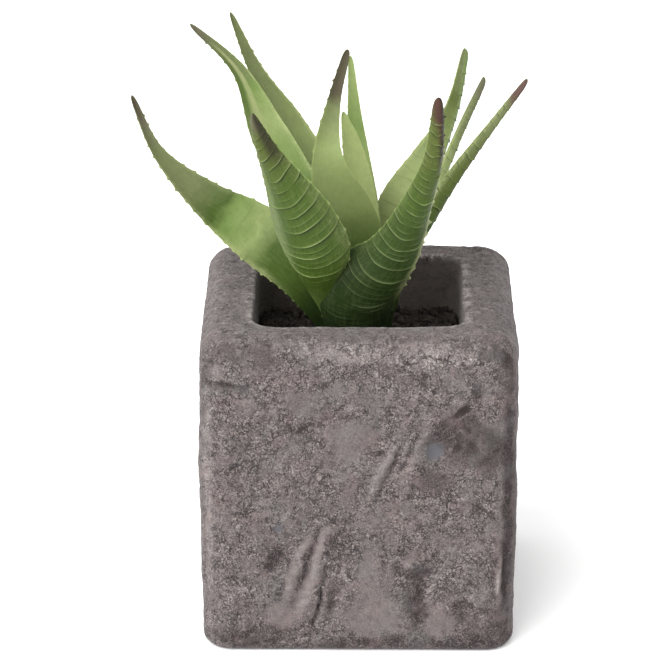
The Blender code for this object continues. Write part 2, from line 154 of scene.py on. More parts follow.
# Patches of the wall, given like the dents, that are calmer and darker or paler than the rest: how calm
# they are from 0 to 1, and how much darker (negative) or paler. Some of them are painted light and shade
POT_PATCHES = {
    FRONT: (
        # Painted light: a pale strip just inside the right edge, and a pale strip down the left edge
        (29.6, 34, 26, 1.2, 0, 0.6, 0.3),
        (-31.6, 34, 28, 1.6, 0, 0.3, 0.9),
        (27, 45, 5, 3.5, 0, 0.8, -0.6),
        (-7.2, 25, 4.5, 1.4, 18, 0.95, 0.4),
        (-9.6, 17.5, 5, 1.4, 17, 0.95, 0.35),
        (-11.7, 11.5, 3.5, 1.6, 22, 0.9, 0.35),
        (-11.3, 24.5, 3.5, 1.2, 32, 0.95, 0.3),
        (-13.6, 17, 6, 1.4, 14, 0.9, 0.3),
        (-17.8, 21.3, 3, 1.8, 20, 0.2, -0.8),
        (-6.2, 11.5, 4.5, 1.8, 20, 0.4, -0.7),
        (4.6, 41, 6, 1.7, 24, 0.6, 0.1),
        (12.9, 46, 4, 1.2, 26, 0.6, 0.0),
        (23.5, 48, 5, 7, 40, 0.95, -0.8),
        (18.5, 50, 5.5, 1.7, 55, 0.6, -0.7),
        (20, 45, 3.2, 4, 0, 0.85, -0.7),
        (16, 38.5, 2.6, 4.5, 0, 0.8, -0.75),
        (21.2, 53.9, 1.7, 0.8, 48, 0.3, -3.2),
        (24.6, 58, 2.8, 1.1, 0, 0.6, -1.0),
        (11.8, 18.2, 1.2, 2.4, 0, 0.8, -2.0),
        (11.6, 11.5, 7, 2.2, 0, 0.5, -1.1),
        (21, 33, 5, 7, 0, 0.0, 0.0),
        (12.8, 18.5, 1.6, 2.2, 0, 0.3, -1.4),
        (21, 9.5, 3, 2, 0, 0.4, -0.8),
        (26, 6, 4, 5, 0, 0.5, -0.5),
        (17, 6, 3.5, 3.5, 0, 0.9, 0.25),
        (3, 8, 5.5, 6, 0, 0.9, 0.3),
        (2.5, 18, 6, 2.5, 0, 0.8, 0.3),
        (-16, 8.5, 3, 3, 0, 0.9, 0.35),
        (-3, 24, 4, 4, 0, 0.0, -0.5),
        (-22, 3.5, 3, 9, 0, 0.4, -0.9),
        (-2, 2, 1.6, 6, 0, 0.3, -0.8),
        (10, 2.6, 2, 6, 0, 0.3, -0.8),
        (24, 2, 2, 9, 0, 0.3, -0.9),
        (-26, 66.5, 1.8, 5.5, 0, 0.8, -0.7),
        (-19, 65.5, 4, 2.5, 0, 0.8, -0.5),
        (28.5, 66.5, 1.8, 4.5, 0, 0.8, -0.8),
        (30.8, 65, 2.2, 1.8, 0, 0.6, -1.0),
        (15, 66, 2.4, 9, 0, 0.0, 0.8),
        (-3, 66.5, 2.0, 10, 0, 0.1, 0.9),
        (-29, 62.5, 1.2, 2.5, 0, 0.6, 0.4),
        (-27, 59.2, 0.9, 5, 0, 0.4, -1.0),
        (-23, 44, 4, 3, 0, 0.0, -0.5),
        (-12, 49, 2.5, 4, 0, 0.2, -0.6),
        (-2, 48, 5, 5, 0, 0.85, 0.15),
        (-12, 56, 3, 4, 0, 0.7, 0.1),
        # Painted shade: a dark strip down the right edge
        (31.8, 32, 30, 1.9, 0, 0.9, -1.1),
        (29.5, 17.5, 5.5, 0.35, 0, 1.0, 1.3),
    ),
    RIGHT: (
        # Painted shade: a dark strip down this side's front edge
        (-30.5, 32, 30, 3, 0, 0.8, -0.7),
        (10, 45, 5, 6, 0, 0.8, -0.7),
        (-15, 18, 6, 3, 0, 0.3, -0.8),
        (18, 12, 4, 5, 0, 0.9, 0.35),
        (0, 3, 2.5, 30, 0, 0.3, -0.8),
    ),
    BACK: (
        (15, 28, 7, 4, 0, 0.7, -0.7),
        (-18, 48, 3, 4, 0, 0.5, -0.8),
        (-10, 12, 4, 6, 0, 0.9, 0.35),
        (0, 3, 2.5, 30, 0, 0.3, -0.8),
    ),
    LEFT: (
        (12, 20, 7, 3, 0, 0.5, -0.8),
        (-14, 50, 4, 6, 0, 0.8, -0.6),
        (2, 40, 5, 5, 0, 0.9, 0.3),
        (0, 3, 2.5, 30, 0, 0.3, -0.8),
    ),
}
# Spots where the mould left the cement smooth and bluish: how far along, how high, and the radius
POT_GLAZES = {
    FRONT: (
        (15.6, 45, 1.9),
        (-16.5, 28, 0.9),
    ),
    RIGHT: ((-6, 52, 1.6),),
    BACK: ((12, 40, 1.8),),
    LEFT: ((-8, 34, 1.5),),
}
# Folds, each with a patch round it, scattered over each of the sides that the photo doesn't show: between
# which places along and heights, of which lengths, breadths and leans, how deep, and how calm
# Each fold's patch is painted light round a fold that stands proud and painted shade round one pressed in
STRAYS = 14
STRAY_SEED = 8
STRAY_PLACES = (-28, 28), (5, 63)
STRAY_SHAPES = (2, 7), (1, 2.6), (5, 50)
STRAY_DEPTHS = (-0.4, -0.3, -0.2, 0.2, 0.3, 0.45)
STRAY_CALM = 0.6
# Small air pits: between which places along a side and heights, their radii, and their depth in radii
PITS = 110
PIT_SEED = 5
PIT_PLACES = (-30, 30), (3, 67)
PIT_SIZES = (0.3, 0.35, 0.45, 0.6)
PIT_DEPTH = 0.45
# How far the edges of folds and patches bend to and fro, in lumps of which size
EDGE_BEND, EDGE_BEND_SIZE, EDGE_BEND_SHIFTS = 0.9 * MM, 5 * MM, (110.0, 120.0, 130.0)
# Over what height the crumbly skin starts at the foot
SKIN_FROM = 1.5 * MM
# In millimetres: how far the skin stands behind the solid in front, and out of it at the other sides,
# between which places from back to front it changes, and the furthest that the solid reaches in front
FRONT_SUNK, SIDES_PROUD = 0.25, 0.2
FRONT_FROM, FRONT_TO = 25, 31
FRONT_LIMIT = -32.66
# How far out a point must be to lie on a side, and a distance that stands for any other side
POT_SIDE = 0.45 * POT_WIDTH
FAR = 99
# The pot's mesh: points round it, the straight share of each quarter, the wall rings' spacing, how far
# in the underside's rings lie, in millimetres, and how many rings bend round the bottom edge, round the
# top edge and over the rim
POT_SIDES = 456
POT_FLAT = 5 / 6
POT_STEP = 0.43 * MM
UNDERSIDE_RINGS = (26, 20, 14, 9, 6, 4.2, 3.2)
BOTTOM_STEPS, TOP_STEPS, RIM_STEPS = 9, 17, 8
# The opening's rings, in millimetres: how far behind the inner wall's face, and how far below the rim
OPENING_RINGS = (
    (2.2, 0), (1.75, 0), (1.3, 0.01), (0.9, 0.05), (0.55, 0.14), (0.25, 0.3), (0.09, 0.6), (0.02, 0.9),
    (0, 1.2), (0, 1.7), (0, 2.2), (0, 2.8), (0, 3.4), (0, 4), (0, 4.7), (0, 5.5), (0, 6.4), (0, 7.4),
    (0, 8.5), (0, 9.7), (0, 11), (0, 12.5), (0, 16), (0, 24), (0, 38), (0, 52), (0, 59.5),
)
POT_FLOOR_RINGS = (FLOOR_CORNER, 6 * MM, 13 * MM)
# The rim's wear: where it starts and over what height it grows
WORN_FROM, WORN_OVER = 65.5 * MM, 2.5 * MM
# The right-hand rim is painted darker, as shade: between which places across, in millimetres, it grows so,
# and how much
RIM_SHADE_FROM, RIM_SHADE_TO, RIM_SHADE = 20, 25, 0.35
# The opening's brink is paler: on which of the opening's rings, and by how much
BRINK_RINGS, BRINK_PALER = (0, 2, 4, 5, 7), (0, 0.8, 1, 0.7, 0)
# In millimetres: how far below the rim the opening's own colour starts, over what height it grows, and
# how much relief lies between the hollows and the crests that the finish tells apart, as painted shade in
# the hollows and painted highlight on the crests
INSIDE_FROM, INSIDE_OVER = 0.7, 1.6
PROUD_SPAN = 0.5
# How much of the relief is left inside the opening, and how far below the rim, in millimetres, the
# wall's waves start to fade, and over what height
INSIDE_RELIEF = 0.6
WAVES_UNTIL, WAVES_FADE = 1.2, 2

# Soil and stem, as in the solids. The gap to the cement, the height of the soil, the height and lengths
# of its waves, and how far its edge is rounded
GAP = 0.3 * MM
SOIL_TOP = 57 * MM
SOIL_BUMP = 0.7 * MM
LUMP, CRUMB = 4 * MM, 1.8 * MM
SOIL_SHOULDER = 0.8 * MM
SOIL_SIDES = 240
SOIL_FLAT = 0.8
SOIL_WALL_RINGS = (0.25, 0.4, 0.55, 0.7)
SOIL_TOP_RINGS = 84
# Loose crumbs and bits of root on it, in millimetres: the crumbs' sizes, between what shares those are
# varied and stretched, what share of its size each lies up, and how far all keep from the wall
SOIL_SEED = 11
GRAINS = 1100
GRAIN_SIZES = (0.35, 0.45, 0.6, 0.85)
GRAIN_VARIES, GRAIN_STRETCH, GRAIN_UP = (0.8, 1.3), (0.6, 1.2), 0.25
GRAIN_ROOM, TWIG_ROOM = 1.5 * MM, 1.2 * MM
# The bits of root: how far from the middle they lie, their lengths, radii and bends, and their meshes
TWIGS = 30
TWIG_REACH = 19
TWIG_LENGTHS, TWIG_RADII, TWIG_BENDS = (2.5, 7), (0.12, 0.28), (-0.9, 0.9)
TWIG_SIDES, TWIG_RINGS = 7, 9
# The stem's half width and height, from its top down, the pitch of its leaf scars, how far the skin lies
# behind the solid, and how high a scar stands
STEM_PROFILE = ((2.6, 62.5), (4.0, 61.5), (4.6, 59), (4.4, 54), (4.2, 48))
STEM_SIDES, STEM_RINGS = 96, 70
STEM_SCARS = 1.5
STEM_SUNK, SCAR_HEIGHT = 0.25, 0.2

# Leaves, as in the solids, in millimetres. path: points on the centre line from root to tip, with the
# half width. faces: where the smooth inner face looks at the root and at the tip, in plan degrees.
# sweep: how far the ridges rise to the two margins. teeth: how far the teeth stand out of them. lines,
# inner_lines and creases: how clear the ridges are on the back, on the inner face, and the fainter lines
# between them. clear_from: where the ridges begin.
# The finish, with places from 0 at the root to 1 at the tip, or from -1 to 1 across. inner and back:
# colours along the two faces, whose darkest greens at the root are partly painted shade. bands: stripes of
# painted light and painted shade along the leaf, with the middle and half width across it, the start,
# colour and strength. rim: how pale the two margins are. tip: the dry tip's colour, start and strength.
# tip_lean: how much sooner it starts at one margin. scorch: the burnt part of the tip, with its start
# across and along the leaf, and its strength.
LEAF_DEFAULTS = {
    "faces": (-90, -90),
    "inner": (("green", 0.1), ("fresh", 0.8)),
    "back": (("green", 0.1), ("fresh", 0.8)),
    "sweep": (0, 0),
    "inner_lines": 0,
    "creases": 0.3,
    "clear_from": 0,
    "bands": (),
    "tip_lean": 0.0,
    "scorch": (-0.2, 0.9, 0.3),
}
LEAVES = {
    "leaf_inner": {
        "path": (
            (1.2, 1.2, 62, 1.6), (2.2, 3.5, 72, 2.2), (1.7, 5.5, 80.5, 2.8),
            (0.2, 8.2, 89, 2.8), (-1.5, 10.5, 97, 2.1), (-3.5, 12, 104.5, 0.5),
        ),
        "inner": (("green", 0.1), ("lime", 0.5), ("lime", 0.9)),
        "tip": ("bark", 0.95, 0.5),
        "rim": (0.2, 0.4),
        "lines": 0.5,
        "teeth": (0.2, 0.3),
    },
    "leaf_back": {
        "path": (
            (1.8, 3.4, 61.5, 2), (2.5, 7.5, 74, 2.7), (1, 12.5, 83.5, 3.1),
            (-0.5, 18, 92.5, 2.7), (-1.2, 22.5, 102, 1.4), (-2, 25, 113, 0.5),
        ),
        "inner": (("green", 0.1), ("lime", 0.4), ("fresh", 0.7), ("pale", 0.92)),
        "tip": ("bark", 0.97, 0.4),
        "rim": (0.3, 0.3),
        "lines": 0.5,
        "teeth": (0.1, 0.3),
    },
    "leaf_centre": {
        "path": (
            (0.4, -1.6, 62, 2.6), (0, -2.2, 75.5, 6), (-3, -4, 86.5, 6.4),
            (-6.5, -3, 98.5, 3.3), (-5.5, 3, 108.5, 1.5), (-2.5, 8, 119.2, 0.75),
        ),
        "inner": (("fresh", 0.05), ("fresh", 0.22), ("pale", 0.46), ("pale", 0.64), ("sage", 0.8)),
        "tip": ("bark", 0.76, 0.95),
        "rim": (0.1, 0.2),
        "lines": 0.7,
        "teeth": (0.1, 0.5),
    },
    "leaf_back_left_high": {
        "path": (
            (-2, 4, 61.5, 2), (-3.6, 11, 75.5, 3.2), (-8.2, 19.5, 86.7, 3.5),
            (-14.6, 26, 97.1, 3), (-22.2, 31, 107.8, 1.6), (-27.9, 34.5, 120, 0.5),
        ),
        "faces": (-80, -80),
        "inner": (("fresh", 0.1), ("pale", 0.34), ("pale", 0.56), ("sage", 0.85)),
        "tip": ("bark", 0.95, 0.6),
        "rim": (0.9, 0.1),
        "lines": 0.6,
        "teeth": (0.3, 0.3),
    },
    "leaf_back_left_low": {
        "path": (
            (-3.6, 2.4, 60.5, 2.4), (-5, 4.2, 76.2, 4.3), (-12, 11, 86.4, 4.6),
            (-19.3, 18, 98, 4.1), (-25.7, 24.5, 109.8, 1.6), (-36.2, 27, 119.4, 0.5),
        ),
        "faces": (-70, -60),
        "inner": (("green", 0.26), ("fresh", 0.5), ("pale", 0.64), ("fresh", 0.72), ("sage", 0.84)),
        "tip": ("dun", 0.88, 0.9),
        "bands": ((0.85, 0.55, 0.5, "green", 0.55), (0.1, 0.35, 0.55, "butter", 0.6)),
        "rim": (0.5, 0.1),
        "lines": 0.6,
        "teeth": (0.1, 0.4),
    },
    "leaf_back_right": {
        "path": (
            (3.8, 3.8, 60.5, 2.4), (5.3, 9.5, 72.5, 4.2), (8.2, 14.5, 82.7, 5.2),
            (14.2, 20, 91.9, 4), (19.4, 24, 101.8, 1.8), (22.3, 26, 114.5, 0.7),
        ),
        "faces": (-110, -150),
        "inner": (("lime", 0.1), ("lime", 0.45), ("pale", 0.58), ("olive", 0.82), ("sage", 0.95)),
        "tip": ("bark", 0.96, 0.5),
        "rim": (0.2, 1.0),
        "lines": 0.9,
        "inner_lines": 0.3,
        "teeth": (0.4, 0.3),
    },
    "leaf_right_mid": {
        "path": (
            (4.6, 0.8, 60.5, 1.8), (8, 3.5, 72.5, 2.3), (12.1, 6, 82.5, 2),
            (16.6, 10, 92, 1.7), (21.1, 15.5, 100.5, 1.1), (26.2, 20, 110, 0.5),
        ),
        "faces": (180, 200),
        "inner": (("fresh", 0.1), ("lime", 0.5), ("sage", 0.9)),
        "back": (("green", 0.1), ("fresh", 0.35), ("pale", 0.6), ("sage", 0.8)),
        "tip": ("dun", 0.88, 0.8),
        "rim": (0.3, 0.3),
        "lines": 0.5,
        "teeth": (0.15, 0.15),
    },
    "leaf_right": {
        "path": (
            (4.4, -1.8, 60, 2.4), (6.5, -3, 73.5, 2.6), (12.4, -4, 84.2, 2.3),
            (19.1, -4, 95.3, 1.7), (26.5, -1.5, 104.9, 0.95), (34.54, 2, 114.7, 0.5),
        ),
        "faces": (140, 120),
        "back": (("deep", 0.2), ("green", 0.42), ("olive", 0.64), ("sage", 0.84)),
        "tip": ("plum", 0.86, 1),
        "rim": (0.4, 0.3),
        "lines": 0.65,
        "teeth": (0.25, 0.2),
        "sweep": (0.3, 0.3),
    },
    "leaf_left": {
        "path": (
            (-4.6, -1.4, 60, 2.8), (-11.5, -1.8, 73, 5.8), (-21.8, 2.5, 80.8, 6.1),
            (-32.3, 6, 87.3, 3.8), (-42.2, 9, 96.3, 1.4), (-47.9, 12, 108, 0.5),
        ),
        "faces": (-50, -60),
        "inner": (
            ("deep", 0.06), ("green", 0.2), ("green", 0.31), ("pale", 0.41), ("fresh", 0.49), ("green", 0.55),
            ("sage", 0.67), ("sage", 0.78), ("dun", 0.9),
        ),
        "back": (("deep", 0.1), ("green", 0.4), ("fresh", 0.8)),
        "tip": ("bark", 0.88, 0.9),
        "inner_lines": 0.15,
        "rim": (0.2, 0.6),
        "lines": 0.8,
        "teeth": (0.5, 0.8),
    },
    "leaf_front_right": {
        "path": (
            (-0.2, -4.4, 59.5, 5.6), (0.2, -9.1, 73, 8.7), (6.8, -15, 83.5, 6),
            (11, -21, 94, 3.6), (14.6, -25.2, 106, 2.0), (15.6, -27, 119.2, 1.0),
        ),
        "faces": (105, 110),
        "back": (("shadow", 0.1), ("deep", 0.42), ("green", 0.68), ("olive", 0.8)),
        "tip": ("rust", 0.84, 1),
        "tip_lean": 0.07,
        "scorch": (0.0, 0.72, 0.9),
        "creases": 0.45,
        "clear_from": 0.08,
        "rim": (0.1, 0.9),
        "lines": 1.0,
        "teeth": (0.5, 1.1),
        "sweep": (0.3, 0.6),
    },
    "leaf_front_left": {
        "path": (
            (-3.6, -3.4, 60, 2), (-6.2, -7.4, 68.3, 2.4), (-7.9, -11.3, 76.5, 4.9),
            (-8.7, -14.5, 84, 8), (-11.4, -17.2, 91.6, 7.6), (-14.9, -19.2, 99.2, 5.1),
            (-18.5, -21, 106.7, 2.5), (-21.4, -23, 114.7, 0.7),
        ),
        "faces": (70, 50),
        "back": (("fresh", 0.12), ("green", 0.3), ("green", 0.7), ("olive", 0.88)),
        "tip": ("dun", 0.9, 0.85),
        "tip_lean": 0.05,
        "scorch": (0.25, 0.75, 0.85),
        "bands": ((-0.8, 0.55, 0.3, "pale", 0.3),),
        "creases": 0.5,
        "clear_from": 0.27,
        "rim": (0.15, 0.2),
        "lines": 1.0,
        "teeth": (0.1, 0.7),
        "sweep": (0.2, 1.4),
    },
}
# Points round a leaf, its thickness with the share of the half width that adds to it, and how deep the
# inner face is dished
LEAF_SIDES = 72
LEAF_THICK = 1.0
LEAF_THICK_SHARE = 0.3
LEAF_DISH_SHARE = 0.24
# The ridges: their pitch, how much closer they crowd at the ends, how high they stand, how far they bow,
# between which shares of the length they lie, and how unevenly they are spaced
RIDGE_PITCH = 2.55
RIDGE_CROWDING = 0.22
RIDGE_HEIGHT = 0.38
RIDGE_BOW = 0.22
RIDGES_FROM, RIDGES_TO = 0.1, 0.95
RIDGE_DRIFT = 0.13
# Over what share of the length the bow fades towards the tip
BOW_FADE = 0.12
# The least half width, and how near two places on the centre line are that give its direction
LEAST_HALF = 0.4
NEAR = 0.002
# Rings that round the leaf's two ends: (share of the length, size)
ROOT_RINGS = ((0.001, 0.35), (0.003, 0.6), (0.006, 0.75), (0.014, 0.9), (0.03, 1), (0.055, 1), (0.08, 1))
TIP_RINGS = ((0.957, 1), (0.965, 1), (0.975, 0.94), (0.984, 0.85), (0.991, 0.72), (0.996, 0.5), (0.999, 0.25))
# One ridge from its foot to the next: (share of the pitch, height, lip, groove). lip: how much painted
# highlight; groove: how much painted shadow
RIDGE_SHAPE = (
    (0.0, 0.0, 0.0, 1.0), (0.03, 0.55, 0.5, 0.5), (0.055, 1.0, 1.0, 0.0), (0.085, 0.9, 0.7, 0.0),
    (0.125, 0.6, 0.15, 0.0), (0.2, 0.42, 0.0, 0.0), (0.38, 0.3, 0.0, 0.0), (0.455, 0.26, 0.0, 0.0),
    (0.485, 0.24, 0.0, 0.0), (0.51, 0.23, 0.0, 0.0), (0.55, 0.21, 0.0, 0.0), (0.62, 0.18, 0.0, 0.05),
    (0.82, 0.06, 0.0, 0.15), (0.92, -0.04, 0.0, 0.35), (0.97, -0.1, 0.0, 0.8),
)
# The fainter line between two ridges, given the same way
CREASE_SHAPE = (
    (0.38, 0.0, 0.0, 0.2), (0.455, -0.1, 0.0, 1.0), (0.485, 0.3, 0.6, 0.3), (0.51, 0.45, 1.0, 0.0),
    (0.55, 0.25, 0.3, 0.0), (0.62, 0.05, 0.0, 0.0), (0.82, 0.0, 0.0, 0.0),
)
TOOTH_SHAPE = ((0, 0.0), (0.05, 0.35), (0.12, 1.0), (0.2, 0.75), (0.3, 0.3), (0.42, 0.05), (0.5, 0.0))
# How far a ridge wanders, how patchy its strength is, the least and the most of it, and over what share
# of the length the ridges grow where they begin
RIDGE_WOBBLE = 0.2
RIDGE_PATCHES = 0.75
RIDGE_STRENGTHS = (0.15, 1.35)
RIDGES_GROW = 0.1
# Over how many points round the leaf a tooth spreads
TOOTH_SPREAD = 2.2
# The blade's own waves: their height, their length, and over what share of the length they end at the tip
FACE_WAVE, FACE_WAVE_LENGTH, FACE_WAVE_END = 0.1, 5 * MM, 0.08

# Studio and camera. The picture's width and the focal length in pixels, and the sensor in millimetres
PICTURE = 660
FOCUS = 3407
SENSOR = 36
CAMERA_HEIGHT_ANGLE = 20.2
CAMERA_DISTANCE = 720 * MM
LOOK_AT = Vector((0, 0, 62 * MM))
# The middle of the pot's front top edge, and its place in the picture, right of and below the middle
ANCHOR = Vector((0, -POT_DEPTH / 2, POT_HEIGHT))
ANCHOR_RIGHT, ANCHOR_BELOW = 29, 14
FLOOR_RADIUS = 4.0
FLOOR_SIDES = 96
# Where the key light shines to, and how soft it is
KEY_TOWARDS = Vector((0.6, 0.62, -0.62))
KEY_SPREAD = math.radians(60)


def seen(red, green, blue):
    """The linear colour of a surface that should look like this screen colour in the studio."""
    parts = (part / 255 for part in (red, green, blue))
    linear = (part / 12.92 if part <= 0.04045 else ((part + 0.055) / 1.055) ** 2.4 for part in parts)
    return tuple(min(part / LIGHT_LEVEL, 1) for part in linear)


def unit(rows):
    return rows / np.linalg.norm(rows, axis=1)[:, None]


# The tables of the fast noise: a shuffled order, and a slope for each corner of its grid
NOISE_DRAW = np.random.RandomState(7)
SHUFFLE = NOISE_DRAW.permutation(256)
SLOPES = unit(NOISE_DRAW.normal(size=(256, 3)))


def curve_at(rows, places):
    """Each column after the first of rows, read at the places given by the first."""
    table = np.array(rows)
    return [np.interp(places, table[:, 0], column) for column in table[:, 1:].T]


def cast_noise(spots, size, shift=0.0):
    """The same noise that the solids use, about -1 to 1, in lumps of this size."""
    moved = spots / size + shift
    return np.array([noise.noise(Vector(spot)) for spot in moved])


def lumps(spots, size, shift=0.0):
    """Smooth noise, about -1 to 1, in lumps of this size, for many spots at once."""
    moved = spots / size + shift
    cell = np.floor(moved).astype(int)
    part = moved - cell
    ease = part**3 * (part * (part * 6 - 15) + 10)
    total = np.zeros(len(spots))
    for corner in itertools.product((0, 1), repeat=3):
        x, y, z = (cell + corner).T
        key = SHUFFLE[(SHUFFLE[(SHUFFLE[x & 255] + y) & 255] + z) & 255]
        weight = np.prod(np.where(corner, ease, 1 - ease), axis=1)
        total += (SLOPES[key] * (part - corner)).sum(1) * weight
    return 1.4 * total


def layered(spots, *layers):
    """Noises added up, each given as its height, the size of its lumps in millimetres, and its shift."""
    return sum(height * lumps(spots, size * MM, shift) for height, size, shift in layers)


def ball_mesh(name, sides, rings, shape):
    """A closed mesh: rings of points between two end points, which go where shape(ring, side) says.

    shape also gives the marks that the points carry for the finish to read.
    """
    ring = np.concatenate([[0], np.repeat(np.arange(1, rings), sides), [rings]])
    side = np.concatenate([[0], np.tile(np.arange(sides), rings - 1), [0]])
    spots, marks = shape(ring, side)
    here = np.arange(1, len(ring) - 1).reshape(rings - 1, sides)
    after = np.roll(here, -1, axis=1)
    first, last = np.zeros(sides, int), np.full(sides, len(ring) - 1)
    faces = np.stack([here[:-1], here[1:], after[1:], after[:-1]], 2).reshape(-1, 4).tolist()
    faces += np.stack([first, here[0], after[0]], 1).tolist()
    faces += np.stack([last, after[-1], here[-1]], 1).tolist()
    mesh = bpy.data.meshes.new(name)
    mesh.from_pydata(spots.tolist(), [], faces)
    turned = bmesh.new()
    turned.from_mesh(mesh)
    if turned.calc_volume(signed=True) < 0:
        bmesh.ops.reverse_faces(turned, faces=turned.faces)
    turned.to_mesh(mesh)
    turned.free()
    for mark, values in marks.items():
        layer = mesh.attributes.new(mark, "FLOAT", "POINT")
        layer.data.foreach_set("value", values.astype(np.float32))
    return mesh


def dress(name, mesh, finish, slot, *nodes, sharp=70):
    """The mesh as a piece of the object, riding on its body and standing for the nodes."""
    piece = bpy.data.objects.new(name, mesh)
    bpy.context.scene.collection.objects.link(piece)
    mesh.materials.append(finish)
    mesh.shade_smooth()
    mesh.set_sharp_from_angle(angle=math.radians(sharp))
    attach(piece, BODY)
    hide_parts(*nodes)


class Amount:
    """What a node gives out, so that sums and products of such amounts are written as for numbers."""

    def __init__(self, finish, socket):
        self.finish, self.socket = finish, socket

    def __add__(self, other):
        return self.finish.calc("ADD", self, other)

    def __sub__(self, other):
        return self.finish.calc("SUBTRACT", self, other)

    def __rsub__(self, other):
        return self.finish.calc("SUBTRACT", other, self)

    def __mul__(self, other):
        return self.finish.calc("MULTIPLY", self, other)

    def __abs__(self):
        return self.finish.calc("ABSOLUTE", self, 0.0)

    __radd__ = __add__


class Finish:
    """A node material being put together. Most methods add a node and give back what it gives out."""

    def __init__(self, name, **fixed):
        self.material = bpy.data.materials.new(name)
        self.material.use_nodes = True
        self.tree = self.material.node_tree
        self.shader = self.tree.nodes["Principled BSDF"]
        self.place = self.node("TexCoord", "Object", {})
        for socket, value in fixed.items():
            self.feed(self.shader.inputs[socket.replace("_", " ")], value)

    def feed(self, socket, value):
        if isinstance(value, Amount):
            self.tree.links.new(value.socket, socket)
        elif socket.type == "RGBA":
            socket.default_value = (*value, 1)
        else:
            socket.default_value = value

    def node(self, kind, output, inputs, **settings):
        """Adds a node with its settings, and feeds its inputs with plain values or with amounts."""
        made = self.tree.nodes.new("ShaderNode" + kind)
        for setting, value in settings.items():
            setattr(made, setting, value)
        for socket, value in inputs.items():
            self.feed(made.inputs[socket], value)
        return Amount(self, made.outputs[output])

    def mark(self, name):
        return self.node("Attribute", "Fac", {}, attribute_name=name)

    def grain(self, size, detail, roughness=0.5, warp=0.0, place=None):
        """Noise from 0 to 1 in lumps of this size."""
        inputs = {"Scale": 1 / size, "Detail": detail, "Roughness": roughness, "Distortion": warp}
        return self.node("TexNoise", "Fac", inputs | {"Vector": place or self.place})

    def cells(self, size, output="Distance", feature="F1", place=None):
        """Round cells of this size: how far a point is from their middles or edges, or their colours."""
        inputs = {"Scale": 1 / size, "Vector": place or self.place}
        return self.node("TexVoronoi", output, inputs, feature=feature)

    def bent(self, size, strength):
        """The object's coordinates, each shifted a little, to bend a pattern."""
        shift = self.node("TexNoise", "Color", {"Scale": 1 / size, "Vector": self.place})
        shift = self.node("VectorMath", "Vector", {0: shift, 1: (0.5, 0.5, 0.5)}, operation="SUBTRACT")
        shift = self.node("VectorMath", "Vector", {0: shift, "Scale": strength}, operation="SCALE")
        return self.node("VectorMath", "Vector", {0: self.place, 1: shift}, operation="ADD")

    def calc(self, operation, first, second):
        return self.node("Math", "Value", {0: first, 1: second}, operation=operation)

    def larger(self, first, second):
        return self.calc("MAXIMUM", first, second)

    def step(self, value, low, high, to_low=0.0, to_high=1.0):
        """A soft step from to_low to to_high as the value goes from low to high."""
        inputs = {"Value": value, "From Min": low, "From Max": high, "To Min": to_low, "To Max": to_high}
        return self.node("MapRange", "Result", inputs, interpolation_type="SMOOTHSTEP")

    def ramp(self, value, stops):
        """stops: (colour, place) from low to high."""
        made = self.node("ValToRGB", "Color", {"Fac": value})
        row = made.socket.node.color_ramp.elements
        while len(row) < len(stops):
            row.new(1.0)
        for element, (_, place) in zip(row, stops):
            element.position = place
        for element, (colour, _) in zip(row, stops):
            element.color = (*colour, 1)
        return made

    def coated(self, colour, *coats):
        """The colour with others laid over it in turn, each given after the share that it covers."""
        for share, coat in coats:
            colour = self.node("Mix", 2, {0: share, 6: colour, 7: coat}, data_type="RGBA")
        return colour

    def bump(self, height, depth):
        return self.node("Bump", "Normal", {"Height": height, "Distance": depth})

    def finished(self, colour, roughness, normal):
        for socket, value in (("Base Color", colour), ("Roughness", roughness), ("Normal", normal)):
            self.feed(self.shader.inputs[socket], value)
        return self.material


def rounded_square(share, width, depth, corner, flat):
    """Points, and outward directions, at shares of the way round rounded squares.

    They start in the middle of the side at +X. flat is the share of each quarter that is straight.
    """
    quarter, along = np.divmod(share * 4 % 4, 1)
    even = quarter % 2 == 0
    across, wide = np.where(even, width, depth) / 2, np.where(even, depth, width) / 2
    angle = np.clip((along - flat / 2) / (1 - flat), 0, 1) * math.pi / 2
    x = (across - corner) * np.minimum(1, (1 - along) / (flat / 2)) + corner * np.cos(angle)
    y = (wide - corner) * np.minimum(1, along / (flat / 2)) + corner * np.sin(angle)
    turn = quarter * math.pi / 2
    flat_zero = np.zeros_like(x)
    spots = np.stack([x * np.cos(turn) - y * np.sin(turn), x * np.sin(turn) + y * np.cos(turn), flat_zero], 1)
    out = np.stack([np.cos(angle + turn), np.sin(angle + turn), flat_zero], 1)
    return spots, out


def wall_inset(height):
    """How far the cast wall stands in from its widest place, which is high up."""
    below = POT_WAIST * (1 - height / POT_WIDEST) ** 2
    above = POT_TOP_INSET * ((height - POT_WIDEST) / (POT_HEIGHT - POT_WIDEST)) ** 2
    return np.where(height < POT_WIDEST, below, above)


def far_from(spots, facing, middle, height, length, breadth, lean=0, reach=POT_SIDE):
    """How far the spots are from a place on a side, squared, in its half sizes, and FAR on the others."""
    turn, tilt = math.radians(facing), math.radians(lean)
    along = spots[:, 1] * math.cos(turn) - spots[:, 0] * math.sin(turn) - middle * MM
    up = spots[:, 2] - height * MM
    lengthways = (up * math.cos(tilt) + along * math.sin(tilt)) / (length * MM)
    sideways = (along * math.cos(tilt) - up * math.sin(tilt)) / (breadth * MM)
    on_side = spots[:, 0] * math.cos(turn) + spots[:, 1] * math.sin(turn) > reach
    return np.where(on_side, lengthways**2 + sideways**2, FAR)


def all_sides(table):
    """The rows of a table by side, each with its side's direction put first."""
    return [(facing, *row) for facing, rows in table.items() for row in rows]


def pressed(spots, dents, reach=POT_SIDE):
    """How deep the dents press the wall in at the spots."""
    depth = np.zeros(len(spots))
    for *place, deepest in dents:
        depth += deepest * MM * np.exp(-far_from(spots, *place, reach=reach))
    return depth


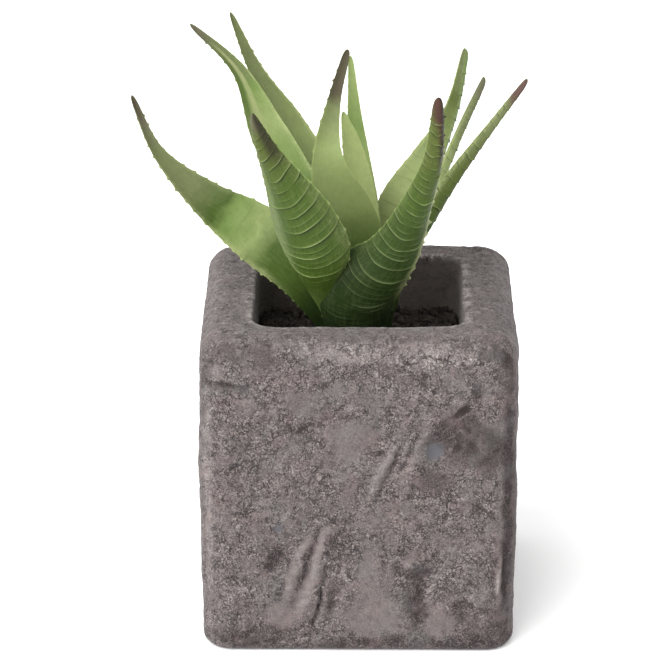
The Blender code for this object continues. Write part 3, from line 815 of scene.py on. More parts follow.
def stray_marks():
    """Folds, and a patch round each, for the sides that the photo doesn't show."""
    draw = random.Random(STRAY_SEED)
    folds, patches = [], []
    for facing in (RIGHT, BACK, LEFT):
        for _ in range(STRAYS):
            place = (facing, *(draw.uniform(*limits) for limits in STRAY_PLACES))
            length, breadth, lean = (draw.uniform(*limits) for limits in STRAY_SHAPES)
            depth = draw.choice(STRAY_DEPTHS)
            folds.append((*place, length, breadth, lean, depth))
            wider = breadth + draw.uniform(0, 2)
            # The patch is painted light round a proud fold and painted shade round a pressed one
            patches.append((*place, length, wider, lean, STRAY_CALM, -1.2 * depth))
    return folds, patches


STRAY_FOLDS, STRAY_PATCHES = stray_marks()


def pot_profile():
    """Rings from the middle of the underside to the rim: how far in, how high, and the tilt up."""
    rings = [(inset * MM, 0, 0) for inset in UNDERSIDE_RINGS]
    for step in range(BOTTOM_STEPS):
        angle = step / BOTTOM_STEPS * math.pi / 2
        rings.append((POT_BOTTOM_EDGE * (1 - math.sin(angle)), POT_BOTTOM_EDGE * (1 - math.cos(angle)), 0))
    wall = POT_HEIGHT - POT_TOP_EDGE - POT_BOTTOM_EDGE
    steps = round(wall / POT_STEP)
    rings += [(0, POT_BOTTOM_EDGE + wall * step / steps, 0) for step in range(steps)]
    for step in range(TOP_STEPS + 1):
        angle = step / TOP_STEPS * math.pi / 2
        height = POT_HEIGHT - POT_TOP_EDGE * (1 - math.sin(angle))
        rings.append((POT_TOP_EDGE * (1 - math.cos(angle)), height, step / TOP_STEPS))
    return rings


def outline(which, inset, height, share, flat):
    """Points on the pot's outline, with the direction out of the cement."""
    outer = which == "outer"
    if outer:
        inset = inset + wall_inset(height)
    full = POT_CORNER if outer else OPENING_CORNER
    width, depth = (POT_WIDTH, POT_DEPTH) if outer else (OPENING, OPENING)
    corner = np.maximum(full - inset, SHARPEST)
    spots, out = rounded_square(share, width - 2 * inset, depth - 2 * inset, corner, flat)
    spots[:, 2] = height
    return spots, out if outer else -out


def cast_relief(spots):
    """The unevenness of the cast wall: the solid's own waves, and the crumbly skin with its pits.

    Gives also how calm the skin is, and how much darker or paler than the rest.
    """
    fade = np.clip(spots[:, 2] / WAVE_FROM - 0.1, 0, 1)
    wide = cast_noise(spots, WAVE_LENGTH)
    fine = cast_noise(spots, RIPPLE_LENGTH, np.array([7, 3, 1]))
    broad = fade * (WALL_WAVE * (wide + 0.5 * fine) - pressed(spots, all_sides(POT_DENTS), POT_WIDTH / 4))
    skin = np.clip(spots[:, 2] / SKIN_FROM, 0, 1)
    bend = np.stack([lumps(spots, EDGE_BEND_SIZE, shift) for shift in EDGE_BEND_SHIFTS], 1)
    bent = spots + EDGE_BEND * bend
    calm, tone = patches_at(bent)
    loose = 1 - 0.8 * calm
    strokes = (spots @ STROKE_FRAME) / STROKE_SHAPE
    drag = 0.12 * lumps(strokes, 1, 70.0) + 0.07 * lumps(strokes * 2.1, 1, 80.0)
    crumbs = layered(spots, (0.07, 1.9, 3.0), (0.08, 0.95, 9.0))
    clots = np.maximum(lumps(spots, 3.4 * MM, 21.0) - 0.05, 0) * 0.15
    veins = np.abs(layered(spots, (1, 5, 15.0), (0.3, 1.6, 16.0)))
    cracked = np.clip(lumps(spots, 10 * MM, 30.0) * 4, 0, 1)
    cracks = -0.15 * cracked * np.clip(1 - veins / 0.07, 0, 1)
    rough = (drag + crumbs + clots + cracks) * loose - 0.1 * loose
    rough += np.interp(-spots[:, 1] / MM, (FRONT_FROM, FRONT_TO), (SIDES_PROUD, -FRONT_SUNK))
    ragged = 1 + layered(spots, (0.5, 1.4, 44.0), (0.5, 3.2, 45.0))
    fold = pressed(bent, all_sides(POT_FOLDS) + STRAY_FOLDS) * ragged
    return broad, skin * (rough * MM - fold - pit_depth(spots)), calm, tone


def patches_at(spots):
    """How calm the wall's skin is, from 0 to 1, and how much darker or paler, about -1 to 1."""
    ragged = layered(spots, (0.4, 3.5, 50.0), (0.35, 1.3, 60.0))
    plates = layered(spots, (1, 5, 90.0), (0.5, 2, 91.0))
    calm = 0.55 * np.clip(plates * 3 - 0.5, 0, 1)
    tone = layered(spots, (0.12, 6, 95.0), (0.08, 2.4, 96.0))
    for *place, calmness, paler in all_sides(POT_PATCHES) + STRAY_PATCHES:
        share = np.clip(1.4 - ragged - far_from(spots, *place), 0, 1)
        calm += (calmness - calm) * share
        tone += (paler - tone * 0.6) * share
    return calm, tone


def glaze_at(spots):
    """How smooth and bluish the mould left the wall, from 0 to 1."""
    ragged = 0.25 * lumps(spots, 1.1 * MM, 60.0)
    glaze = np.zeros(len(spots))
    for *place, radius in all_sides(POT_GLAZES):
        away = far_from(spots, *place, radius, radius) + ragged
        glaze = np.maximum(glaze, np.clip(1.5 - 1.2 * away, 0, 1))
    return glaze


def pit_depth(spots):
    """Small air pits, scattered over the four walls and the rim's shoulders."""
    draw = random.Random(PIT_SEED)
    depth = np.zeros(len(spots))
    for _ in range(PITS):
        facing = draw.choice((FRONT, RIGHT, BACK, LEFT))
        middle, height = (draw.uniform(*limits) for limits in PIT_PLACES)
        size = draw.choice(PIT_SIZES) * draw.uniform(0.8, 1.2)
        away = far_from(spots, facing, middle, height, size, size)
        depth += PIT_DEPTH * size * MM * np.exp(-(away**1.5))
    return depth


def blurred(table, passes=10):
    """The table of heights, averaged with its neighbours round the ball, so that relief can be told."""
    for _ in range(passes):
        table = (2 * table + np.roll(table, 1, 1) + np.roll(table, -1, 1)) / 4
        padded = np.concatenate([table[:1], table, table[-1:]])
        table = (2 * table + padded[:-2] + padded[2:]) / 4
    return table


def pot_mesh(grit):
    """The cup, from the middle of its underside over the rim to the middle of its inner floor."""
    outer = pot_profile()
    inner = [(-behind * MM, POT_HEIGHT - down * MM) for behind, down in OPENING_RINGS]
    inner += [(inset, POT_FLOOR) for inset in POT_FLOOR_RINGS]
    first_inner = len(outer) + RIM_STEPS
    last = first_inner + len(inner)

    def shape(ring, side):
        share = side / POT_SIDES
        inset, height, tilt = np.array(outer)[np.clip(ring - 1, 0, len(outer) - 1)].T
        spots, out = outline("outer", inset, height, share, POT_FLAT)
        inset, height = np.array(inner)[np.clip(ring - first_inner, 0, len(inner) - 1)].T
        within, inward = outline("inner", inset, height, share, POT_FLAT)
        across = np.clip((ring - len(outer)) / RIM_STEPS, 0, 1)[:, None]
        spots = spots * (1 - across) + within * across
        down = (POT_HEIGHT - spots[:, 2]) / MM
        inside = ring >= first_inner
        lean = np.where(ring >= len(outer), 1, tilt)[:, None]
        up = np.array([[0, 0, 1.0]])
        push = unit(out * (1 - lean) + up * lean + 1e-9)
        into_opening = unit(inward * np.minimum(down, 1)[:, None] + up * 0.3)
        push = np.where(inside[:, None], into_opening, push)
        broad, skin, calm, tone = cast_relief(spots)
        worn = np.clip((spots[:, 2] - WORN_FROM) / WORN_OVER, 0, 1)
        # Painted shade on the right-hand rim
        shaded = np.interp(spots[:, 0] / MM, (RIM_SHADE_FROM, RIM_SHADE_TO), (0, RIM_SHADE))
        deep = np.clip((down - WAVES_UNTIL) / WAVES_FADE, 0, 1) * inside
        kept = np.where(inside, INSIDE_RELIEF, 1)
        relief = broad * (1 - deep) * kept + grit * skin * kept
        table = np.zeros((last + 1, POT_SIDES))
        table[ring, side] = relief
        # How far each point stands out of the blurred wall, which the finish turns into painted shade in the
        # hollows and painted highlight on the crests
        standing = (table - blurred(table))[ring, side] / MM
        marks = {
            "inside": np.where(inside, np.clip((down - INSIDE_FROM) / INSIDE_OVER, 0, 1), 0),
            "worn": worn,
            "brink": np.interp(ring - first_inner, BRINK_RINGS, BRINK_PALER),
            "glaze": glaze_at(spots),
            "calm": calm,
            "tone": tone - worn * shaded,
            "proud": np.clip(0.5 + standing / PROUD_SPAN, 0, 1),
        }
        spots = spots + push * relief[:, None]
        spots[:, 1] = np.maximum(spots[:, 1], FRONT_LIMIT * MM)
        spots[ring == 0] = (0, 0, 0)
        spots[ring == last] = (0, 0, POT_FLOOR)
        return spots, marks

    return ball_mesh("pot_wall", POT_SIDES, last, shape)


def pot_finish(looks):
    """Sandy cement: calm plates between crumbly, cracked parts, with pits, and a scuffed rim."""
    made = Finish("cast cement", Specular_IOR_Level=0.1, Sheen_Weight=0.12, Sheen_Roughness=0.35)
    marks = ("glaze", "inside", "worn", "brink", "proud", "calm", "tone")
    glaze, inside, worn, brink, proud, calm, tone = (made.mark(name) for name in marks)
    calm = made.larger(calm, made.larger(glaze, worn * looks.rim_wear))
    soft = made.grain(2.2 * MM, 5, 0.62)
    sand = made.grain(0.4 * MM, 2, 0.6)
    dust = made.grain(0.2 * MM, 1, 0.5)
    crumbly = made.step(made.grain(4 * MM, 4, 0.6), 0.34, 0.56, 0.45, 1) * (1 - calm)
    # Cracks round flakes of two sizes, and winding ones, each only where another noise lets it show
    bent = made.bent(0.9 * MM, 1.4 * MM)
    small, large = (made.cells(size * MM, feature="DISTANCE_TO_EDGE", place=bent) for size in (1.5, 3.2))
    broken = made.step(made.grain(1.5 * MM, 2), 0.5, 0.57) * crumbly
    cracks = made.step(small, 0.02, 0.08, 1, 0) * broken
    splits = made.step(large, 0.01, 0.045, 1, 0) * made.step(made.grain(2.4 * MM, 2), 0.5, 0.58)
    cracks = made.larger(cracks, splits * (0.15 + crumbly))
    winding = made.step(abs(made.grain(2.2 * MM, 3, 0.6) - 0.5), 0.0, 0.016, 1, 0)
    winding = winding * made.step(made.grain(2.1 * MM, 1), 0.5, 0.6)
    cracks = made.larger(cracks, winding * (0.2 + crumbly * 0.7))
    sandy = made.step(sand, 0.45, 0.6)
    # A painted highlight on the flakes' edges beside the cracks
    painted_edge_light = made.step(small, 0.1, 0.18) * made.step(small, 0.2, 0.36, 1, 0) * crumbly * sandy
    pores = made.step(made.cells(0.9 * MM), 0.1, 0.24, 1, 0) * made.step(sand, 0.5, 0.6) * crumbly
    # Cracks and pores, which get the pit colour below as painted shade in the hollows
    holes = made.larger(cracks, pores)
    rubbed = made.step(abs(made.grain(7 * MM, 3) - 0.5), 0, 0.012, 1, 0)
    scratches = rubbed * made.step(made.grain(3 * MM, 2), 0.5, 0.62)
    # How light the cement is at each point, from the soft clouds down to the single grains
    level = (soft - 0.5) * made.step(calm, 0.3, 1, 0.2, 0.14)
    level += (sand - 0.5 + (dust - 0.5) * 0.6) * (0.25 + crumbly * 0.7)
    level += (made.cells(1.1 * MM, "Color", place=bent) - 0.5) * (0.05 + crumbly * 0.13)
    # Painted shade in the hollows and painted highlight on the crests of the relief
    level += (proud - 0.5) * 0.35
    # The tone carries the wall's own darker and paler patches, and also painted light and shade at the
    # front's edges, the right-hand rim and the stray folds
    level += tone * 0.17
    # Painted highlight beside the cracks
    level += painted_edge_light * 0.15
    level += scratches * 0.15
    scuffs = (made.grain(1.3 * MM, 4, 0.66, warp=1.2) - 0.5) * worn
    level += scuffs * made.step(made.grain(2.8 * MM, 2), 0.42, 0.6, 0.4, 1.5)
    level += brink * made.step(soft, 0.44, 0.54) * 0.35
    level += 0.38 + worn * 0.035
    stops = (
        (looks.pit_colour, 0.15),
        (looks.dark_colour, 0.36),
        (looks.cement_colour, 0.52),
        (looks.pale_colour, 0.7),
        (looks.speck_colour, 0.9),
    )
    colour = made.coated(
        made.ramp(level, stops),
        (made.step(made.grain(6 * MM, 3), 0.5, 0.68, 0, 0.28), looks.cool_colour),
        (made.step(made.grain(4.5 * MM, 3, warp=0.5), 0.54, 0.7, 0, 0.28), looks.warm_colour),
        # Painted shade in the cracks and pores
        (holes * 0.76, looks.pit_colour),
        (glaze * 0.8, looks.glaze_colour),
        (worn * made.step(made.grain(5 * MM, 5, 0.65, warp=0.8), 0.4, 0.62, 0.05, 0.3), looks.rim_colour),
        (inside, looks.inside_colour),
    )
    height = (soft * 0.5 + sand * 0.35 - holes * 0.45) * (0.2 + crumbly * 0.9)
    rough = made.step(glaze, 0, 1, 0.93, 0.72)
    return made.finished(colour, rough, made.bump(height, looks.grain_depth * 3))


def soil_mesh():
    """The filling, from its foot up the inner wall to its uneven top."""
    foot = POT_FLOOR + GAP
    sides = [(FLOOR_CORNER + GAP, foot), (GAP, foot + FLOOR_CORNER)]
    sides += [(GAP, POT_HEIGHT * part) for part in SOIL_WALL_RINGS]
    sides += [(GAP, SOIL_TOP - 2 * SOIL_SHOULDER), (GAP * 1.2, SOIL_TOP - SOIL_SHOULDER)]
    sides.append((GAP * 2, SOIL_TOP - SOIL_SHOULDER / 2))

    def shape(ring, side):
        share = side / SOIL_SIDES
        inset, height = np.array(sides)[np.clip(ring - 1, 0, len(sides) - 1)].T
        spots, _ = outline("inner", inset, height, share, SOIL_FLAT)
        level, _ = outline("inner", np.full(len(ring), GAP * 3), np.zeros(len(ring)), share, SOIL_FLAT)
        level *= (1 - (ring - len(sides) - 0.5) / (SOIL_TOP_RINGS + 0.5))[:, None]
        bump = cast_noise(level, LUMP) + 0.6 * cast_noise(level, CRUMB)
        crumbly = layered(level, (0.45, 1.1, 5.0), (0.3, 0.6, 8.0))
        level[:, 2] = SOIL_TOP + SOIL_BUMP * bump + crumbly * MM * 0.6
        spots = np.where((ring > len(sides))[:, None], level, spots)
        spots[ring == 0] = (0, 0, foot)
        return spots, {}

    return ball_mesh("soil_bed", SOIL_SIDES, len(sides) + SOIL_TOP_RINGS + 1, shape)


def soil_height(x, y):
    """How high the top of the soil lies at a place, as in the solids."""
    flat = Vector((x, y, 0))
    return SOIL_TOP + SOIL_BUMP * (noise.noise(flat / LUMP) + 0.6 * noise.noise(flat / CRUMB))


def grain_mesh(draw):
    """Loose crumbs of peat on the soil, each a closed lump, in one mesh."""
    bm = bmesh.new()
    bmesh.ops.create_icosphere(bm, subdivisions=2, radius=1)
    ball = np.array([vert.co for vert in bm.verts])
    corners = np.array([[vert.index for vert in face.verts] for face in bm.faces])
    bm.free()
    half = OPENING / 2 - GRAIN_ROOM
    spots, faces = [], []
    for number in range(GRAINS):
        x, y = draw.uniform(-half, half), draw.uniform(-half, half)
        size = draw.choice(GRAIN_SIZES) * MM * draw.uniform(*GRAIN_VARIES)
        stretch = size * np.array([draw.uniform(*GRAIN_STRETCH) for _ in range(3)])
        turn = Matrix.Rotation(draw.uniform(0, math.tau), 3, (draw.random(), draw.random(), 0.5))
        shift = draw.uniform(0, 50)
        out = 1 + 0.5 * lumps(ball, 0.8, shift) + 0.3 * lumps(ball, 0.35, shift)
        lump = (ball * out[:, None] * stretch) @ np.array(turn).T
        spots.append(lump + (x, y, soil_height(x, y) + size * GRAIN_UP))
        faces.append(corners + number * len(ball))
    mesh = bpy.data.meshes.new("soil_crumbs")
    mesh.from_pydata(np.concatenate(spots), [], np.concatenate(faces))
    return mesh


def twig_mesh(draw):
    """Bits of root and bark lying on the soil, each a thin bent rod with closed ends."""
    bm = bmesh.new()
    limit = OPENING / 2 - TWIG_ROOM
    up = Vector((0, 0, 1))
    turns = [turn / TWIG_SIDES * math.tau for turn in range(TWIG_SIDES)]
    for _ in range(TWIGS):
        x, y = (draw.uniform(-TWIG_REACH, TWIG_REACH) for _ in range(2))
        middle = Vector((x, y, 0)) * MM
        facing, length = draw.uniform(0, math.tau), draw.uniform(*TWIG_LENGTHS) * MM
        thick, bend = draw.uniform(*TWIG_RADII) * MM, draw.uniform(*TWIG_BENDS)
        loops = []
        for station in range(TWIG_RINGS):
            part = station / (TWIG_RINGS - 1) - 0.5
            angle = facing + bend * part
            spot = middle + Vector((math.cos(angle), math.sin(angle), 0)) * part * length
            spot = Vector([min(max(value, -limit), limit) for value in spot])
            spot.z = soil_height(spot.x, spot.y) + thick + 0.5 * MM * abs(noise.noise(spot * 400))
            across = Vector((-math.sin(angle), math.cos(angle), 0))
            size = thick * (1 - 0.7 * (2 * abs(part)) ** 3)
            ring = [spot + (across * math.cos(turn) + up * math.sin(turn)) * size for turn in turns]
            loops.append([bm.verts.new(point) for point in ring])
        for near, far in zip(loops, loops[1:]):
            for turn in range(TWIG_SIDES):
                after = (turn + 1) % TWIG_SIDES
                bm.faces.new((near[turn], near[after], far[after], far[turn]))
        bm.faces.new(loops[0][::-1])
        bm.faces.new(loops[-1])
    bmesh.ops.recalc_face_normals(bm, faces=bm.faces)
    mesh = bpy.data.meshes.new("soil_twigs")
    bm.to_mesh(mesh)
    bm.free()
    return mesh


def soil_finish(name, dark, pale, gloss):
    """Peat in lumps and fibres. gloss: how smooth the darkest, dampest parts are."""
    made = Finish(name, Specular_IOR_Level=0.12)
    clods = made.grain(2.2 * MM, 5, 0.65)
    fibre = made.grain(0.35 * MM, 3, 0.6)
    colour = made.ramp(clods, ((dark, 0.4), (pale, 0.68)))
    colour = made.coated(colour, (made.step(fibre, 0.58, 0.72, 0, 0.5), pale))
    rough = made.step(clods, 0.4, 0.7, gloss, 0.95)
    return made.finished(colour, rough, made.bump(clods + fibre, 0.5 * MM))


def stem_mesh():
    """The short stalk, with a groove between each two leaf scars."""
    rows = np.array(STEM_PROFILE)
    heights = np.linspace(rows[0, 1], rows[-1, 1], STEM_RINGS)
    last = STEM_RINGS + 1

    def shape(ring, side):
        height = heights[np.clip(ring - 1, 0, STEM_RINGS - 1)]
        scar = np.abs((height / STEM_SCARS) % 1 - 0.5) * 2
        angle = side / STEM_SIDES * math.tau
        radius = np.interp(-height, -rows[:, 1], rows[:, 0]) - STEM_SUNK + SCAR_HEIGHT * scar
        radius[(ring == 0) | (ring == last)] = 0
        spots = np.stack([radius * np.cos(angle), radius * np.sin(angle), height], 1) * MM
        spots[:, :2] *= 1 + 0.01 * lumps(spots, 1.2 * MM)[:, None]
        return spots, {"scar": 1 - scar}

    return ball_mesh("stem_stalk", STEM_SIDES, last, shape)


def stem_finish(palette):
    """Green, with brown grooves between the leaf scars."""
    made = Finish("stalk", Specular_IOR_Level=0.12)
    mottle = made.grain(1.5 * MM, 4)
    colour = made.ramp(mottle, ((palette["deep"], 0.35), (palette["green"], 0.7)))
    colour = made.coated(colour, (made.mark("scar") * 0.7, palette["bark"]))
    return made.finished(colour, made.step(mottle, 0.3, 0.7, 0.55, 0.75), made.bump(mottle, 0.2 * MM))


def eased(values, share):
    """A smooth curve through values at even stations."""
    values = np.asarray(values, float)
    last = len(values) - 1
    place = np.clip(share, 0, 1) * last
    step = np.minimum(place.astype(int), last - 1)
    part = place - step
    if values.ndim == 2:
        part = part[:, None]
    row = np.concatenate([[2 * values[0] - values[1]], values, [2 * values[-1] - values[-2]]])
    before, here, after, beyond = (row[step + offset] for offset in range(4))
    bend = 2 * before - 5 * here + 4 * after - beyond
    twist = 3 * here - before - 3 * after + beyond
    return 0.5 * (2 * here + (after - before) * part + bend * part**2 + twist * part**3)


class CentreLine:
    """A leaf's centre line, with its half width and the frame across it."""

    def __init__(self, path, faces):
        self.spots = np.array([point[:3] for point in path]) * MM
        self.halves = np.array([point[3] for point in path])
        self.faces = faces
        self.length = np.linalg.norm(np.diff(self.spots, axis=0), axis=1).sum()

    def half(self, share):
        return np.maximum(eased(self.halves, share), LEAST_HALF)

    def frame(self, share):
        """The points, and the directions across and out of the inner face."""
        inside = np.clip(share, NEAR, 1 - NEAR)
        along = unit(eased(self.spots, inside + NEAR) - eased(self.spots, inside - NEAR))
        angle = np.radians(self.faces[0] + (self.faces[1] - self.faces[0]) * share)
        look = np.stack([np.cos(angle), np.sin(angle), np.zeros_like(angle)], 1)
        inward = unit(look - along * (look * along).sum(1)[:, None])
        return eased(self.spots, share), np.cross(inward, along), inward


def ridge_feet(length, draw):
    """Where each ridge starts, as shares of the length. They crowd towards the root and the tip."""
    count = round((RIDGES_TO - RIDGES_FROM) * length / (RIDGE_PITCH * MM))
    pitch = (RIDGES_TO - RIDGES_FROM) / count
    feet = []
    for ridge in range(count):
        turn = ridge / count * math.tau
        crowded = ridge - RIDGE_CROWDING * count * math.sin(turn) / math.tau
        feet.append(RIDGES_FROM + pitch * (crowded + draw.uniform(-RIDGE_DRIFT, RIDGE_DRIFT)))
    return feet


def leaf_rings(feet):
    """A leaf's rings: share of the length, size, number of the ridge, part of the way to the next."""
    rings = [(share, size, 0, 0.0) for share, size in ROOT_RINGS]
    for ridge, (foot, after) in enumerate(zip(feet, feet[1:] + [RIDGES_TO])):
        rings += [(foot + part[0] * (after - foot), 1, ridge, part[0]) for part in RIDGE_SHAPE]
    return np.array(rings + [(share, size, len(feet), 0.0) for share, size in TIP_RINGS])


def ridge_noise(ridges, seed):
    """Two slow noises, at each point round the leaf for each ridge: its wandering and its patches."""
    angles = np.arange(LEAF_SIDES) / LEAF_SIDES * math.tau
    wobble, patches = np.zeros((2, ridges, LEAF_SIDES))
    for number in range(ridges):
        for side, angle in enumerate(angles):
            place = Vector((math.cos(angle) * 1.3, number * 3.7 + math.sin(angle), seed * 5.1))
            wobble[number, side] = noise.noise(place) + 0.15 * noise.noise(place * 2.3)
            patches[number, side] = noise.noise(place * 0.9 + Vector((40, 0, 0)))
    return wobble, patches


def leaf_mesh(name, leaf, seed, looks):
    """A blade with a dished inner face, a round back that carries the ridges, and toothed margins."""
    line = CentreLine(leaf["path"], leaf["faces"])
    feet = ridge_feet(line.length, random.Random(seed))
    rows = leaf_rings(feet)
    last = len(rows) + 1
    lines = len(feet) + 1
    pitch = (RIDGES_TO - RIDGES_FROM) / len(feet)
    wobble, patches = ridge_noise(lines + 1, seed)
    strength = np.clip(1 + RIDGE_PATCHES * (patches - 0.15) * 2, *RIDGE_STRENGTHS) * leaf["lines"]
    # The fainter lines show only here and there
    between = np.clip(0.25 - 3 * np.roll(patches, 11, axis=1), 0, 1) * leaf["creases"]
    teeth, sweep = np.array(leaf["teeth"]), np.array(leaf["sweep"])

    def shape(ring, side):
        share, size, number, part = rows[np.clip(ring - 1, 0, len(rows) - 1)].T
        number = number.astype(int)
        after = np.minimum(number + 1, lines)
        ridged = (ring > len(ROOT_RINGS)) & (ring <= len(rows) - len(TIP_RINGS))
        half = line.half(share) * size
        angle = side / LEAF_SIDES * math.tau
        belly = np.abs(np.sin(angle))
        back = np.sin(angle) > 1e-6
        margin = (np.cos(angle) > 0).astype(int)
        # The ridges and the fainter lines between them
        clear = ridged * np.clip((share - leaf["clear_from"]) / RIDGES_GROW, 0, 1)
        power = strength[np.where(part < 0.5, number, after), side] * clear
        lift, lip, groove = curve_at(RIDGE_SHAPE, part)
        crease_lift, crease_lip, crease_groove = curve_at(CREASE_SHAPE, part) * between[number, side] * clear
        crest = lift * power + crease_lift
        rise = looks.ridge_lift * RIDGE_HEIGHT * crest * np.minimum(1, belly**0.5 * 1.2)
        thick = (LEAF_THICK + LEAF_THICK_SHARE * half) * size * belly
        depth = LEAF_DISH_SHARE * half * belly**2 + np.where(back, thick + rise, 0)
        # How far they bow, rise to the margins and wander along the leaf
        bow = np.where(back, RIDGE_BOW * half * belly * MM / line.length, 0)
        swept = sweep[margin] * np.cos(angle) ** 2 * MM / line.length
        bow = bow - np.where(ridged & (belly < 0.999), swept, 0)
        drift = wobble[number, side] * (1 - part) + wobble[after, side] * part
        place = share - bow * np.minimum(1, np.minimum(share / RIDGES_FROM, (1 - share) / BOW_FADE))
        place = place + np.where(ridged, drift * pitch * RIDGE_WOBBLE, 0)
        # The teeth, uneven, and only at the points nearest the margins
        tooth = curve_at(TOOTH_SHAPE, part)[0] * ridged * looks.tooth / MM * teeth[margin]
        uneven = 0.4 + 2.2 * np.abs(wobble[number, np.where(margin, 0, LEAF_SIDES // 2)])
        steps_away = np.minimum(side % (LEAF_SIDES // 2), -side % (LEAF_SIDES // 2))
        near_margin = np.clip(1 - steps_away / TOOTH_SPREAD, 0, 1)
        across = np.cos(angle) * half + np.sign(np.cos(angle)) * tooth * uneven * near_margin**1.3
        spot, sideways, inward = line.frame(place)
        spots = spot + (sideways * across[:, None] - inward * depth[:, None]) * MM
        # The blade's own waves, weaker on the narrow leaves
        wave = lumps(spots, FACE_WAVE_LENGTH, seed * 3.1) * FACE_WAVE * np.minimum(belly * 2, 1)
        wave = wave * np.clip((1 - share) / FACE_WAVE_END, 0, 1)
        spots = spots - inward * wave[:, None] * MM * np.where(half < 2, 0.5, 1)[:, None]
        spots[ring == 0], spots[ring == last] = line.frame(np.array([0.0, 1.0]))[0]
        ends = (ring == 0) | (ring == last)
        marks = {
            "reach": np.where(ring == 0, 0, np.where(ring == last, 1, share)),
            "across": np.cos(angle) * np.where(ends, 0, 1),
            "back": np.where(back, belly, 0),
            # lip: where the finish paints a highlight on each ridge's lip; groove: where it paints shadow
            # under the lip on the back, and faint dark lines on the inner face
            "lip": (lip * power + crease_lip) * back,
            "groove": (groove * power + crease_groove) * np.where(back, 1, leaf["inner_lines"]),
            "tooth": tooth * near_margin,
        }
        return spots, marks

    return ball_mesh(name, LEAF_SIDES, last, shape)


def leaf_finish(name, leaf, looks):
    """Green skin along two faces, with pale margins, painted highlights on the ridges' lips, painted shadow
    in the grooves and at the foot, and a dry tip.
    """
    palette = looks.palette()
    sheer = {"Subsurface_Weight": 0.12, "Subsurface_Scale": 2 * MM, "Subsurface_Radius": (0.7, 1.0, 0.3)}
    made = Finish(name, Specular_IOR_Level=looks.gloss, **sheer)
    marks = ("reach", "across", "back", "lip", "groove", "tooth")
    reach, across, back, lip, groove, tooth = (made.mark(mark) for mark in marks)
    cloud = made.grain(6 * MM, 3)
    mottle = made.grain(1.3 * MM, 3)
    place = reach + (cloud - 0.5) * 0.16
    inner, outer = (
        made.ramp(place, [(palette[tone], at) for tone, at in leaf[face]]) for face in ("inner", "back")
    )
    colour = made.coated(inner, (made.step(back, 0.02, 0.12), outer))
    coats = []
    # Bands of painted light and painted shade along the leaf
    for middle, half, start, tone, strength in leaf["bands"]:
        band = made.step(abs(across - middle), 0.3 * half, half, 1, 0) * made.step(place, start, start + 0.15)
        coats.append((band * made.step(place, 0.8, 0.95, strength, 0), tone))
    lengthways = made.node("CombineXYZ", "Vector", {0: reach * 2.0, 1: across, 2: back})
    streaks = made.grain(0.09, 4, 0.6, place=lengthways)
    coats.append((made.step(streaks, 0.4, 0.75, 0, 0.1), "pale"))
    coats.append((made.step(mottle, 0.35, 0.65, 0.08, 0), "deep"))
    flecks = made.grain(0.8 * MM, 3, 0.6) * 0.6 + cloud * 0.4
    for towards, pale in zip((-1.0, 1.0), leaf["rim"]):
        edge = made.step(across * towards, 0.72, 1.0) * made.step(flecks, 0.4, 0.6, 0.25 * pale, pale)
        coats.append((edge * made.step(reach, 0.14, 0.34), "butter"))
    # Painted shadow under the ridges' lips, then a painted highlight on the lips
    coats.append((groove * 0.85, "shadow"))
    coats.append((lip * made.step(reach, 0.12, 0.5, 0.1, 0.5), "pale"))
    coats.append((tooth * 1.1, "butter"))
    # Painted shade at the leaf's foot
    coats.append((made.step(reach, 0.03, 0.17, 0.65, 0), "shadow"))
    tone, start, strength = leaf["tip"]
    drying = place + lip * -0.03 + across * leaf["tip_lean"]
    coats.append((made.step(drying, start, start + 0.1, 0, strength), tone))
    side, start, strength = leaf["scorch"]
    burnt = made.step(place, start, start + 0.12, 0, strength) * made.step(across, side, side + 0.6)
    coats.append((burnt, "burnt"))
    colour = made.coated(colour, *((share, palette[tone]) for share, tone in coats))
    rough = made.step(mottle, 0.3, 0.7, looks.roughness - 0.05, looks.roughness + 0.08)
    return made.finished(colour, rough, made.bump(made.grain(0.5 * MM, 2) + streaks, 0.08 * MM))


def colour_choice(name, description, *display):
    return bpy.props.FloatVectorProperty(
        name=name, description=description, subtype="COLOR", size=3, min=0, max=1, default=seen(*display)
    )


def strength_choice(name, description, default, most=1, least=0):
    return bpy.props.FloatProperty(
        name=name, description=description, subtype="FACTOR", default=default, min=least, max=most
    )


def length_choice(name, description, default, most):
    return bpy.props.FloatProperty(
        name=name, description=description, subtype="DISTANCE", unit="LENGTH", default=default,
        min=0, max=most,
    )


# The green and brown colours that the leaves' finishes pick by name
LEAF_TONES = (
    "deep", "green", "olive", "fresh", "lime", "pale", "sage", "butter", "shadow", "bark", "rust", "plum",
    "dun", "burnt",
)


